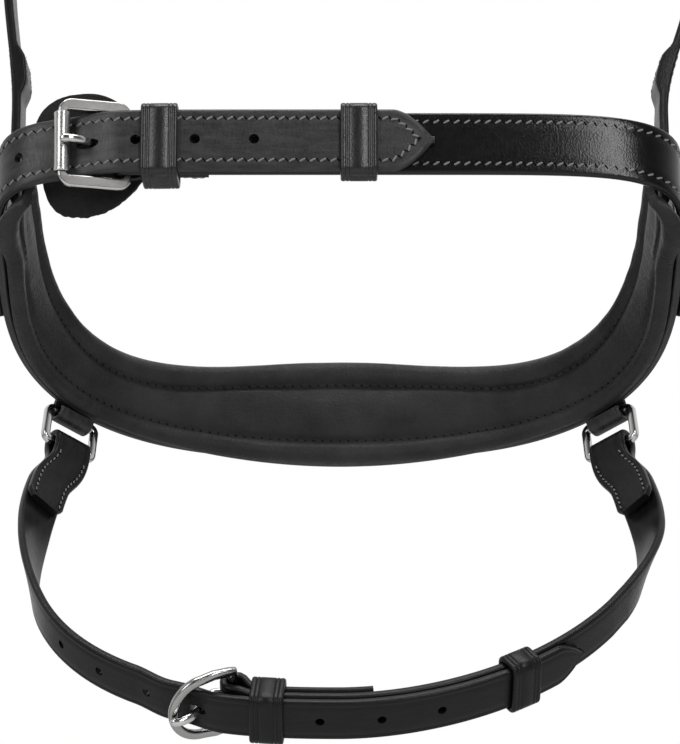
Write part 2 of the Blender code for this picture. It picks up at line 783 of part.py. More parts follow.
def horseshoe_buckle(bench, closure, name, wire):
    """Round-ended wire frame with its hinge bar across the open end."""
    half = closure.width / 2 + HORSESHOE_SIDE_PLAY + wire
    end = closure.span
    outline = [(0.0, -half * 0.5), (0.0, half * 0.5), (0.0, half)]
    straight = end * HORSESHOE_STRAIGHT
    outline += [(straight * 0.6, half * 1.06), (straight, half)]
    steps = 8
    for i in range(1, steps):
        angle = math.pi / 2 - math.pi * i / steps
        outline.append((straight + (end - straight) * math.cos(angle), half * math.sin(angle)))
    outline += [(straight, -half), (straight * 0.6, -half * 1.06), (0.0, -half)]
    points = [(x, y, 0.0) for x, y in outline]
    mesh = wire_mesh(name, points, wire, closed=True, matrix=closure.buckle_matrix())
    return bench.add(name, mesh, STEEL, pivot=closure.hinge_axis())


def roller(bench, closure, name):
    """Sleeve that turns on the buckle's outer bar."""
    matrix = closure.buckle_matrix() @ Matrix.Translation((closure.span, 0, 0))
    length = closure.width - 0.6 * MM
    bore = HINGE_BAR_RADIUS * 1.42
    profile = [(closure.bar_radius, length / 2), (closure.bar_radius, -length / 2),
               (bore, -length / 2), (bore, length / 2)]
    def build(bm):
        verts = [bm.verts.new((r, h, 0.0)) for r, h in profile]
        edges = [bm.edges.new((verts[i], verts[(i + 1) % 4])) for i in range(4)]
        bmesh.ops.spin(bm, geom=verts + edges, cent=(0, 0, 0), axis=(0, 1, 0),
                       angle=2 * math.pi, steps=14, use_merge=True)
        bmesh.ops.remove_doubles(bm, verts=bm.verts, dist=0.00002)
        bmesh.ops.transform(bm, matrix=matrix, verts=bm.verts)
    pivot = matrix.translation.copy()
    return bench.add(name, mesh_from(name, build), STEEL, pivot=pivot)


def pad_section(width, thickness):
    """Flat outer side and three soft lobes on the inner side."""
    half = width / 2
    groove = PAD_CHANNEL_AT * width / PAD_WIDTH
    full = -thickness
    low = full * (1 - PAD_CHANNEL_DEPTH / PAD_THICKNESS)
    slope = 1.7 * MM
    right = [(groove * 0.45, full), (groove - slope, full * 0.88), (groove, low),
             (groove + slope, full * 0.86), ((half + groove) / 2, full),
             (half * 0.93, full * 0.82), (half, full * 0.42), (half * 0.95, 0.0)]
    left = [(-a, b) for a, b in reversed(right)]
    return left[1:] + right + left[:1]


def side_at(ring, side, y):
    """Arc length where the ring's side reaches y from the jaw strap."""
    level = JAW_MIDDLE.y + y
    return ring.find(lambda p: p.y > level and p.x * side > 0, side * 100 * MM, side * MM)


def nose_pieces(bench, ring):
    """Outer leather over the nose and its channelled lining."""
    start = side_at(ring, 1, NOSE_LEATHER_START_Y)
    end = ring.length - start
    stations = []
    for s in paced(ring, start, end, 8 * MM, turn=6.0):
        share = ease(min(s - start, end - s) / NOSE_LEATHER_GROWTH)
        width = JAW_WIDTH + (NOSE_LEATHER_WIDTH - JAW_WIDTH) * share
        stations.append(Station(s, GAP + NOSE_LEATHER_THICKNESS / 2, width, NOSE_LEATHER_THICKNESS))
    bench.add("nose_band", strap_mesh("nose_band", ring, stations), LEATHER)
    start = side_at(ring, 1, PAD_START_Y)
    end = ring.length - start
    lift_start = side_at(ring, 1, PAD_LIFT_UNTIL_Y)
    lifted = (lift_start, ring.length - lift_start)
    lift_height = HEAD_FOOT_INSET + 2 * GAP - PAD_PLAY
    stations = []
    for s in spread(start, end, 6.5 * MM):
        inset = min(s - start, end - s)
        share = ease(1 - abs(s - ring.length / 2) / PAD_SIDE_AT)
        swell = 0.6 + 0.4 * ease(inset / (10 * MM))
        width = PAD_SIDE_WIDTH + (PAD_WIDTH - PAD_SIDE_WIDTH) * share
        width *= 0.88 + 0.12 * ease(inset / (10 * MM))
        forward = min(abs(s - lifted[0]), abs(s - lifted[1])) / PAD_LIFT_RAMP
        between = lifted[0] < s < lifted[1]
        lift = lift_height * (1 - ease(forward)) if between else lift_height
        thickness = (PAD_THICKNESS - lift) * swell
        stations.append(Station(s, -PAD_PLAY - lift, width, thickness))
    bench.add("nose_pad", strap_mesh("nose_pad", ring, stations, pad_section), SOFT_LEATHER)


def lap_stations(ring, side, thickness):
    """The jaw strap's sewn end outside the nose leather, from its end towards the jaw."""
    end = side_at(ring, side, JAW_LAP_Y)
    over = side_at(ring, side, NOSE_LEATHER_START_Y - 4 * MM)
    down = side_at(ring, side, JAW_LAP_RAMP_Y)
    stations = []
    for s in paced(ring, end, down, 6 * MM):
        share = ease(abs(s - down) / abs(over - down))
        q = thickness / 2 + (NOSE_LEATHER_THICKNESS + 3 * GAP) * share
        stations.append(Station(s, q, JAW_WIDTH, thickness))
    return stations, down


def jaw_pieces(bench, ring):
    """Billet, buckle strap, roller buckle, guard and keepers at the jaw."""
    closure = Closure("jaw", ring, JAW_WIDTH, JAW_BILLET_THICKNESS, JAW_STRAP_THICKNESS,
                      JAW_HINGE_AT, JAW_BUCKLE_SPAN, JAW_BUCKLE_TILT, JAW_ROLLER_RADIUS,
                      JAW_BILLET_THICKNESS / 2, tip_length=JAW_TIP_LENGTH)
    lead, start = lap_stations(ring, -1, JAW_BILLET_THICKNESS)
    holes = (JAW_FIRST_HOLE_AT, JAW_HOLE_PITCH, JAW_HOLE_COUNT, JAW_HOLE_RADIUS)
    closure.billet(bench, "jaw_billet", start + 6 * MM, JAW_TIP_AT, lead, holes)
    lead, start = lap_stations(ring, 1, JAW_STRAP_THICKNESS)
    closure.buckle_strap(bench, "jaw_buckle_strap", start - 6 * MM, JAW_TURN_BACK, lead)
    square_buckle(bench, closure, "jaw_buckle", JAW_BUCKLE_RAIL, JAW_BUCKLE_CORNER)
    roller(bench, closure, "jaw_roller")
    closure.tongue(bench, "jaw_tongue")
    top = JAW_STRAP_THICKNESS + GAP + JAW_BILLET_THICKNESS
    inner = closure.layers_low(JAW_FIXED_KEEPER_AT, JAW_KEEPER_LENGTH) - GUARD_PLAY - GUARD_THICKNESS
    closure.keeper(bench, "jaw_keeper_fixed", JAW_FIXED_KEEPER_AT, JAW_KEEPER_LENGTH, inner, top)
    closure.keeper(bench, "jaw_keeper_sliding", JAW_SLIDING_KEEPER_AT, JAW_KEEPER_LENGTH, 0.0, top)
    guard_pad(bench, closure)
    return closure


def guard_pad(bench, closure):
    """Soft flap between the buckle and the horse, narrowed into the fixed keeper."""
    neck_at = JAW_FIXED_KEEPER_AT - JAW_KEEPER_LENGTH / 2
    stations = []
    for s in spread(GUARD_START, GUARD_END, 3.2 * MM):
        run = (s - GUARD_START) / (neck_at - GUARD_START)
        rounding = math.sqrt(max(0.0, 1 - (1 - min(run / 0.38, 1.0)) ** 2))
        narrow = min(max(0.0, (run - 0.5) / 0.5), 1.0) ** 2
        height = (GUARD_HEIGHT * (0.45 + 0.55 * rounding)) * (1 - narrow) + GUARD_NECK * narrow
        q = closure.return_q(s) - FOLD_THICKNESS / 2 - GUARD_PLAY - GUARD_THICKNESS / 2
        rise = GUARD_RISE * rounding * (1 - narrow)
        stations.append(Station(s, q, height, GUARD_THICKNESS, rise))
    bench.add("guard_pad", strap_mesh("guard_pad", closure.route, stations), SUEDE)


def ring_and_tab(bench, ring, side, label):
    """A steel ring in its leather tab under the noseband."""
    upper, lower, bar, hang = ring_bars(ring, side)
    half = RING_INNER_WIDTH / 2 + RING_WIRE
    outline = rounded_rectangle(-half, half, -RING_INNER_HEIGHT - 2 * RING_WIRE, 0.0, RING_CORNER, 3)
    frame = Frame(upper, bar, -hang, bar.cross(-hang))
    points = [(x, y, 0.0) for x, y in outline]
    mesh = wire_mesh("ring", points, RING_WIRE, closed=True, matrix=frame.flat())
    bench.add("flash_ring_" + label, mesh, STEEL, pivot=upper)
    foot = ring.at(tab_at(ring, side))
    turn = RING_WIRE + RING_PLAY + TAB_THICKNESS / 2
    bar_q = (upper - foot.origin).dot(foot.outward)
    bar_w = (upper - foot.origin).dot(foot.across)
    path = [(w, bar_q + turn) for w in spread(-2 * MM, bar_w + MM, 5 * MM)]
    path += [(bar_w - y, bar_q + x) for x, y in arc(0, 0, turn, 0, 180, 10)]
    path.append((bar_w + 1.6 * MM, bar_q - turn))
    sections = []
    for i, (w, q) in enumerate(path):
        (w0, q0), (w1, q1) = path[max(i - 1, 0)], path[min(i + 1, len(path) - 1)]
        length = math.hypot(w1 - w0, q1 - q0)
        normal = Vector(((q1 - q0) / length, -(w1 - w0) / length))
        section = []
        for a, b in strap_section(TAB_WIDTH, TAB_THICKNESS):
            section.append(foot.point(a, q + normal.y * b, w + normal.x * b))
        sections.append(section)
    bench.add("ring_tab_" + label, loft("tab", sections), LEATHER)


def ring_end(route, side):
    """A flash strap's end folded through its ring, from the sewn return to the strap."""
    wrap = RING_WIRE + GAP + FLASH_THICKNESS / 2
    edge = side * route.length / 2
    stations = []
    for d in spread(FLASH_RING_TURN_BACK, 1.5 * MM, 4 * MM):
        q = -wrap + (wrap - FLASH_THICKNESS - GAP) * ease(d / FLASH_RETURN_RUN)
        stations.append(Station(edge - side * d, q, FLASH_WIDTH, FLASH_THICKNESS))
    for x, y in arc(0, 0, wrap, -90, -270, 10):
        stations.append(Station(edge - side * x, y, FLASH_WIDTH, FLASH_THICKNESS))
    for d in spread(1.5 * MM, FLASH_STRAP_RUN, 4 * MM):
        q = wrap * (1 - ease(d / FLASH_STRAP_RUN))
        stations.append(Station(edge - side * d, q, FLASH_WIDTH, FLASH_THICKNESS))
    return stations


def flash_pieces(bench, ring):
    """Flash strap with its buckle, keepers and ring ends."""
    route = flash_route(ring)
    closure = Closure("flash", route, FLASH_WIDTH, FLASH_THICKNESS, FLASH_THICKNESS,
                      FLASH_HINGE_AT, FLASH_BUCKLE_SPAN, FLASH_BUCKLE_TILT, FLASH_BUCKLE_WIRE,
                      0.0, FLASH_HINGE_SINK, HORSESHOE_SHOULDER, FLASH_TIP_LENGTH)
    swing = (ring_bars(ring, -1)[0] + ring_bars(ring, 1)[0]) / 2
    for side, label in ((-1, "left"), (1, "right")):
        ring_and_tab(bench, ring, side, label)
    holes = (FLASH_FIRST_HOLE_AT, FLASH_HOLE_PITCH, FLASH_HOLE_COUNT, FLASH_HOLE_RADIUS)
    start = FLASH_STRAP_RUN + 6 * MM - route.length / 2
    closure.billet(bench, "flash_billet", start, FLASH_TIP_AT, ring_end(route, -1), holes, swing)
    lead = ring_end(route, 1)
    far = route.length / 2 - FLASH_STRAP_RUN
    lap_end = FLASH_TIP_AT + FLASH_LAP_LENGTH
    for s in paced(route, far - 6 * MM, lap_end + FLASH_LAP_LENGTH / 2):
        share = ease((far - s) / FLASH_END_BLEND)
        lead.append(Station(s, FLASH_THICKNESS / 2 * share, FLASH_WIDTH, FLASH_THICKNESS))
    closure.buckle_strap(bench, "flash_buckle_strap", lap_end, FLASH_TURN_BACK,
                         lead, pivot=swing)
    horseshoe_buckle(bench, closure, "flash_buckle", FLASH_BUCKLE_WIRE)
    closure.tongue(bench, "flash_tongue")
    top = 2 * FLASH_THICKNESS + GAP
    inner = closure.layers_low(FLASH_FIXED_KEEPER_AT, FLASH_KEEPER_LENGTH)
    closure.keeper(bench, "flash_keeper_fixed", FLASH_FIXED_KEEPER_AT, FLASH_KEEPER_LENGTH,
                   inner, top, pivot=swing)
    closure.keeper(bench, "flash_keeper_sliding", FLASH_SLIDING_KEEPER_AT, FLASH_KEEPER_LENGTH,
                   0.0, top, pivot=route.bend_centre(FLASH_SLIDING_KEEPER_AT))
    return closure


def head_pieces(bench):
    """Headpiece over the poll, the left hanger with its buckle, and the poll pad."""
    route = head_route()
    right_end = -route.zero
    left_end = route.length - route.zero
    hinge = HEAD_HINGE_FROM_POLL
    closure = Closure("head", route, HEAD_WIDTH, HEAD_THICKNESS, HEAD_THICKNESS, hinge,
                      HEAD_BUCKLE_SPAN, HEAD_BUCKLE_TILT, FLASH_BUCKLE_WIRE,
                      HEAD_THICKNESS / 2, 0.0, HORSESHOE_SHOULDER, HEAD_TIP_LENGTH)
    tip = hinge + HEAD_TIP_BEYOND
    layers = []
    for d in spread(0.0, HEAD_DOUBLED_TO, 5 * MM):
        inside = min(d - HEAD_DOUBLED_FROM, HEAD_DOUBLED_TO - d) / HEAD_DOUBLED_RAMP
        layers.append((d, HEAD_DOUBLED_EXTRA * ease(inside)))
    right_foot = [Station(right_end + d, (HEAD_THICKNESS - extra) / 2, HEAD_WIDTH,
                          HEAD_THICKNESS + extra) for d, extra in layers]
    left_foot = [Station(left_end - d, (HEAD_THICKNESS - extra) / 2, HEAD_WIDTH,
                         HEAD_THICKNESS + extra) for d, extra in layers]
    holes = (hinge + HEAD_FIRST_HOLE_BEYOND, HEAD_HOLE_PITCH, HEAD_HOLE_COUNT, FLASH_HOLE_RADIUS)
    closure.billet(bench, "headpiece", right_end + HEAD_DOUBLED_TO + 5 * MM, tip, right_foot, holes)
    closure.buckle_strap(bench, "hanger_left", left_end - HEAD_DOUBLED_TO - 5 * MM, HEAD_TURN_BACK,
                         left_foot)
    horseshoe_buckle(bench, closure, "hanger_buckle", FLASH_BUCKLE_WIRE)
    closure.tongue(bench, "hanger_tongue")
    top = 2 * HEAD_THICKNESS + GAP
    fixed_at = hinge + HEAD_FIXED_KEEPER_BEYOND
    inner = closure.layers_low(fixed_at, HEAD_KEEPER_LENGTH)
    closure.keeper(bench, "hanger_keeper_fixed", fixed_at, HEAD_KEEPER_LENGTH, inner, top)
    closure.keeper(bench, "hanger_keeper_sliding", hinge + HEAD_SLIDING_KEEPER_BEYOND,
                   HEAD_KEEPER_LENGTH, 0.0, top)
    poll_pad(bench, route)
    return closure


def poll_pad(bench, route):
    """Soft pad under the headpiece, flat in the middle where the poll carries it."""
    half = POLL_PAD_LENGTH / 2
    stations = []
    for s in spread(-half, half, POLL_PAD_LENGTH / POLL_PAD_FACETS):
        inset = (half - abs(s)) / (12 * MM)
        width = POLL_PAD_WIDTH * (0.7 + 0.3 * ease(inset))
        thickness = POLL_PAD_THICKNESS * (0.5 + 0.5 * ease(inset))
        stations.append(Station(s, -GAP - thickness / 2, width, thickness))
    bench.add("poll_pad", strap_mesh("poll_pad", route, stations), SOFT_LEATHER)


def main():
    bench = Bench()
    ring = ring_route()
    nose_pieces(bench, ring)
    jaw = jaw_pieces(bench, ring)
    flash = flash_pieces(bench, ring)
    head = head_pieces(bench)
    return ring, jaw, flash, head


if __name__ == "__main__":
    main()
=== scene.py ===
"""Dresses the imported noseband, its flash strap and its headpiece.

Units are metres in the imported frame. Every strap lies on a route by arc length s, with
q outward from the route and w across it, as the solids do, so each fine piece sits where
its solid is. Threads, holes, creases and quilting follow the same routes.
"""

import logging
import math
from dataclasses import dataclass, field
from enum import Enum
from typing import Callable, Optional, Sequence

import bmesh
import bpy
import numpy as np
from mathutils import Matrix, Vector, noise
from mathutils.bvhtree import BVHTree


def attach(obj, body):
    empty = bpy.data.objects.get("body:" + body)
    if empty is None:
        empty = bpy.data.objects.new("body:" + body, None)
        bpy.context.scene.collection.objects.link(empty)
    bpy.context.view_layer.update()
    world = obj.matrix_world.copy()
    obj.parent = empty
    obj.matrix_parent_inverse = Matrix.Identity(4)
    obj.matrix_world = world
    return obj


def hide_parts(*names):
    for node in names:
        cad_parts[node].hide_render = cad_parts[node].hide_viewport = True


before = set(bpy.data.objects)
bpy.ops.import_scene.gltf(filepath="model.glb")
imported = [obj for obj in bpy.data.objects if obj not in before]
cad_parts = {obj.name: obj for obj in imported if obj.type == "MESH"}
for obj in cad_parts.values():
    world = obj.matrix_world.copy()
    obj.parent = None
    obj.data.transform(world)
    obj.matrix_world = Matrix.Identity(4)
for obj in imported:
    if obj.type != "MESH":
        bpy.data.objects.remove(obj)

MM = 0.001
GAP = 0.3 * MM
STEP = 2 * MM  # between two stations, and between two places of a row
UP = Vector((0, 0, 1))
RIGHT = Vector((1, 0, 0))
LOG = logging.getLogger("noseband")

Outline = list[tuple[float, float]]
Row = list[tuple[Vector, Vector, Vector]]


class Slot(Enum):
    """The record's material slots."""

    LEATHER = "bridle_leather"
    SOFT = "soft_leather"
    SUEDE = "suede"
    STEEL = "satin_steel"


class Side(Enum):
    """Left and right as seen from behind the jaw."""

    LEFT = -1
    RIGHT = 1


# Lines in space


@dataclass(frozen=True)
class Spot:
    """A place on a route with its three directions."""

    origin: Vector
    along: Vector
    across: Vector
    outward: Vector

    def point(self, along: float = 0.0, outward: float = 0.0, across: float = 0.0) -> Vector:
        """The point at these offsets from the place."""
        return self.origin + self.along * along + self.outward * outward + self.across * across

    def matrix(self, x: Vector, y: Vector, z: Vector) -> Matrix:
        """A placement with local X, Y and Z on the given directions."""
        return Matrix.Translation(self.origin) @ Matrix((x, y, z)).transposed().to_4x4()

    def flat(self) -> Matrix:
        """A placement with X along the strap, Y across it and Z outward."""
        return self.matrix(self.along, self.across, self.outward)


class Route:
    """A line in space with a direction across it, measured by its length."""

    def __init__(self, points: list[Vector], across: list[Vector], closed: bool = False) -> None:
        """Measure the line.

        Args:
            points: The line's points in order.
            across: The width direction at each point.
            closed: Whether arc lengths wrap round.
        """
        self.points = points
        self.across = across
        self.closed = closed
        self.zero = 0.0
        self.lengths = [0.0]
        for a, b in zip(points, points[1:]):
            self.lengths.append(self.lengths[-1] + (b - a).length)
        self.length = self.lengths[-1]
        self._marks = np.array(self.lengths)

    def _look_up(self, s: float) -> tuple[Vector, Vector]:
        """The point and width direction at arc length s.

        Args:
            s: The arc length.

        Returns:
            The point and the width direction.
        """
        t = s + self.zero
        if self.closed:
            t %= self.length
        low = int(np.clip(np.searchsorted(self._marks, t, "right") - 1, 0, len(self.points) - 2))
        high = low + 1
        share = (t - self.lengths[low]) / (self.lengths[high] - self.lengths[low])
        inside = min(max(share, 0.0), 1.0)
        return (self.points[low] + (self.points[high] - self.points[low]) * share,
                self.across[low].lerp(self.across[high], inside))

    def at(self, s: float, reach: float = 1.5 * MM) -> Spot:
        """The place at arc length s, with outward square to the strap's face.

        Args:
            s: The arc length.
            reach: How far to each side the direction is measured.

        Returns:
            The place.
        """
        origin, hint = self._look_up(s)
        along = (self._look_up(s + reach)[0] - self._look_up(s - reach)[0]).normalized()
        outward = along.cross(hint).normalized()
        return Spot(origin, along, outward.cross(along), outward)

    def place(self, s: float, q: float = 0.0, w: float = 0.0) -> Vector:
        """The point at arc length s, height q and width offset w."""
        return self.at(s).point(0.0, q, w)

    def find(self, test: Callable[[Vector], bool], start: float, step: float) -> float:
        """Walk from start until the test holds, and give that arc length.

        Args:
            test: What the point has to pass.
            start: Arc length of the first try.
            step: Arc length between two tries.

        Returns:
            The first arc length that passes.
        """
        s = start
        while not test(self.place(s)):
            s += step
        return s


def ease(value: float) -> float:
    """Smooth step from 0 to 1."""
    value = min(max(value, 0.0), 1.0)
    return value * value * (3 - 2 * value)


def softer_of(a: float, b: float, soft: float = 1.0 * MM) -> float:
    """The greater of two lengths, with a rounded change from one to the other."""
    return (a + b + math.hypot(a - b, soft)) / 2


def superellipse(angle: float, half_x: float, half_y: float, squareness: float) -> tuple[float, float]:
    """A point of a squared ellipse at the given angle.

    Args:
        angle: The angle in radians.
        half_x: Half of the width.
        half_y: Half of the height.
        squareness: 2 for a plain ellipse, and more for a squarer one.

    Returns:
        The point as (x, y).
    """
    c, s = math.cos(angle), math.sin(angle)
    power = 2.0 / squareness
    return (math.copysign(abs(c) ** power, c) * half_x, math.copysign(abs(s) ** power, s) * half_y)


def spread(start: float, end: float, step: float) -> list[float]:
    """Evenly spaced values from start to end, no further apart than step."""
    count = max(1, math.ceil(abs(end - start) / step))
    return [start + (end - start) * i / count for i in range(count + 1)]


def arc(radius: float, start: float, end: float, steps: int) -> Outline:
    """Points of an arc about the origin, angles in degrees.

    Args:
        radius: The arc's radius.
        start: First angle.
        end: Last angle.
        steps: Number of steps.

    Returns:
        The points.
    """
    points = []
    for i in range(steps + 1):
        angle = math.radians(start + (end - start) * i / steps)
        points.append((radius * math.cos(angle), radius * math.sin(angle)))
    return points


def rounded_rectangle(left: float, right: float, low: float, high: float,
                      corner: float, steps: int = 6) -> Outline:
    """Outline of a rectangle with round corners, anticlockwise.

    Args:
        left: Lowest x.
        right: Highest x.
        low: Lowest y.
        high: Highest y.
        corner: Radius of the corners.
        steps: Number of steps round each corner.

    Returns:
        The outline.
    """
    outline = []
    centres = ((right - corner, high - corner), (left + corner, high - corner),
               (left + corner, low + corner), (right - corner, low + corner))
    for turn, (x, y) in enumerate(centres):
        for i in range(steps + 1):
            angle = math.pi / 2 * (turn + i / steps)
            outline.append((x + corner * math.cos(angle), y + corner * math.sin(angle)))
    return outline


@dataclass(frozen=True)
class RingLine:
    """The closed line between the noseband's lining and its outer leather."""

    middle: Vector = Vector((0, -24, -400)) * MM
    half_width: float = 116 * MM
    near_depth: float = 43 * MM
    far_depth: float = 85 * MM
    near_squareness: float = 6.6
    far_squareness: float = 2.63
    drop: float = 63 * MM
    drop_power: float = 1.15
    side_lean: float = -14.0

    @property
    def depth(self) -> float:
        """Distance from the jaw strap to the front of the nose."""
        return self.near_depth + self.far_depth

    def route(self) -> Route:
        """The line with s = 0 at the middle of the jaw strap.

        Returns:
            The line, closed.
        """
        count = 720
        points = []
        for i in range(count + 1):
            angle = -math.pi / 2 + 2 * math.pi * i / count
            near = math.sin(angle) < 0
            depth = self.near_depth if near else self.far_depth
            squareness = self.near_squareness if near else self.far_squareness
            x, y = superellipse(angle, self.half_width, depth, squareness)
            forward = (y + self.near_depth) / self.depth
            z = -self.drop * (1 - max(0.0, 1 - forward) ** self.drop_power)
            points.append(self.middle + Vector((x, y + self.near_depth, z)))
        line = Route(points, [UP] * len(points), closed=True)
        line.across = [self._leaned(line, i) for i in range(len(points))]
        return line

    def _leaned(self, line: Route, index: int) -> Vector:
        """The width direction at a point, tipped towards the sides of the nose.

        Args:
            line: The line with its width directions straight up.
            index: The point's number.

        Returns:
            The tipped direction.
        """
        spot = line.at(line.lengths[index])
        offset = spot.origin - self.middle
        share = (offset.x / self.half_width) ** 2 * offset.y / self.depth
        angle = math.radians(self.side_lean) * share
        return spot.across * math.cos(angle) + spot.outward * math.sin(angle)

    def side_at(self, line: Route, side: int, y: float) -> float:
        """Arc length where the ring's side reaches y from the jaw strap.

        Args:
            line: The noseband's line.
            side: -1 for the left and 1 for the right.
            y: Distance forward of the jaw strap.

        Returns:
            The arc length.
        """
        level = self.middle.y + y
        return line.find(lambda p: p.y > level and p.x * side > 0, side * 100 * MM, side * MM)


@dataclass(frozen=True)
class RingHang:
    """Where a flash ring hangs: its two bars, their direction and the way down."""

    upper: Vector
    lower: Vector
    bar: Vector
    hang: Vector
    foot: Spot


@dataclass(frozen=True)
class FlashLine:
    """The flash strap's line from the left ring to the right one."""

    drop: float = 191.2 * MM
    forward: float = 4 * MM
    outset: float = 7.6 * MM
    squareness_left: float = 2.5
    squareness_right: float = 1.84
    waist: float = 0.34
    untwist_start: float = 0.54
    untwist_end: float = 0.88
    tab_from_front: float = 24 * MM
    tab_reach: float = 2.8 * MM
    pad_side_half: float = 14 * MM
    wire: float = 1.5 * MM
    inner_width: float = 18.5 * MM
    inner_height: float = 10.5 * MM
    lead: float = 26 * MM
    lean: float = 18.0
    play: float = 0.9 * MM
    leather: float = 3.4 * MM

    def hang(self, ring: Route, shape: RingLine, side: int) -> RingHang:
        """The ring on one side.

        Args:
            ring: The noseband's line.
            shape: The noseband's sizes.
            side: -1 for the left ring and 1 for the right one.

        Returns:
            The ring's bars and directions.
        """
        level = shape.middle.y + shape.depth - self.tab_from_front
        s = ring.find(lambda p: p.y > level and p.x * side > 0, side * 150 * MM, side * MM)
        foot = ring.at(s)
        bar_q = self.leather + 3 * GAP - self.wire - self.play
        upper = foot.point(0.0, bar_q, -(self.pad_side_half + self.tab_reach))
        bar = foot.along * side
        lean = math.radians(self.lean)
        hang = Vector((0, -math.sin(lean), -math.cos(lean)))
        hang = (hang - bar * hang.dot(bar)).normalized()
        lower = upper + hang * (self.inner_height + 2 * self.wire)
        return RingHang(upper, lower, bar, hang, foot)

    def _lead_in(self, point: Vector, ring: RingHang) -> Vector:
        """Let the strap leave its ring square to the bar.

        Args:
            point: A point of the strap's line.
            ring: The ring that it may be near to.

        Returns:
            The point, moved in line with the ring where it is near.
        """
        distance = (point - ring.lower).length
        if distance > self.lead:
            return point
        return (ring.lower + ring.hang * distance).lerp(point, ease(distance / self.lead))

    def route(self, ring: Route, shape: RingLine) -> Route:
        """The line with s = 0 nearest the jaw.

        Args:
            ring: The noseband's line.
            shape: The noseband's sizes.

        Returns:
            The line.
        """
        left, right = self.hang(ring, shape, -1), self.hang(ring, shape, 1)
        top = (left.lower + right.lower) / 2
        half_width = right.lower.x + self.outset
        down = shape.middle + Vector((0, self.forward, -self.drop)) - top
        depth = down.length
        down.normalize()
        normal = down.cross(RIGHT).normalized()
        waist = depth * self.waist
        squeeze = math.sqrt(1 - (right.lower.x / half_width) ** 2)
        points = []
        low_steps, high_steps = 180, 30
        for i in range(high_steps):
            angle = math.pi - math.asin(squeeze) * (1 - i / high_steps)
            x, rise = superellipse(angle, half_width, waist / squeeze, 2.0)
            points.append(top + RIGHT * x + down * (waist - rise))
        for i in range(low_steps + 1):
            angle = math.pi + math.pi * i / low_steps
            squareness = self.squareness_left if 2 * i < low_steps else self.squareness_right
            x, rise = superellipse(angle, half_width, depth - waist, squareness)
            points.append(top + RIGHT * x + down * (waist - rise))
        points += [Vector((2 * top.x - p.x, p.y, p.z)) for p in reversed(points[:high_steps])]
        points = [self._lead_in(p, left) for p in points]
        points = [self._lead_in(p, right) for p in points]
        line = Route(points, [normal] * len(points))
        across = []
        for length in line.lengths:
            offset = length / line.length * 2 - 1
            turned = -(left if offset < 0 else right).bar
            share = (abs(offset) - self.untwist_start) / (self.untwist_end - self.untwist_start)
            across.append(normal.lerp(turned, ease(share)).normalized())
        line.across = across
        line.zero = line.length / 2
        return line


@dataclass(frozen=True)
class HeadLine:
    """The headpiece's line from the right foot over the poll to the left foot."""

    foot_inset: float = 4.8 * MM
    outset_left: float = 0.5 * MM
    outset_right: float = 9 * MM
    arch_height: float = 120 * MM
    squareness: float = 2.2
    lean_height: float = 60 * MM
    foot_below: float = 29 * MM
    jaw_width: float = 22 * MM
    pad_thickness: float = 7 * MM
    pad_facet: float = 10 * MM

    def route(self, shape: RingLine) -> Route:
        """The line with s = 0 at the poll.

        Args:
            shape: The noseband's sizes.

        Returns:
            The line.
        """
        foot_z = shape.middle.z - self.foot_below
        foot_x = shape.half_width - self.foot_inset
        lean_from = shape.middle.z + self.jaw_width / 2
        halves = []
        for outset in (self.outset_right, self.outset_left):
            half_width = shape.half_width + outset
            half = []
            for z in spread(foot_z, -self.arch_height, 2 * MM)[:-1]:
                x = foot_x + (half_width - foot_x) * ease((z - lean_from) / self.lean_height)
                half.append(Vector((x, 0, z)))
            for i in range(91):
                x, z = superellipse(math.pi * i / 180, half_width, self.arch_height, self.squareness)
                half.append(Vector((x, 0, z - self.arch_height)))
            halves.append(half)
        right, left = halves
        points = right + [Vector((-p.x, p.y, p.z)) for p in reversed(left[:-1])]
        line = Route(points, [Vector((0, -1, 0))] * len(points))
        line.zero = line.lengths[len(right) - 1]
        seat = line.place(self.pad_facet / 2).z
        line.points = [p + UP * (self.pad_thickness + GAP - seat) for p in points]
        return line


# Finishes


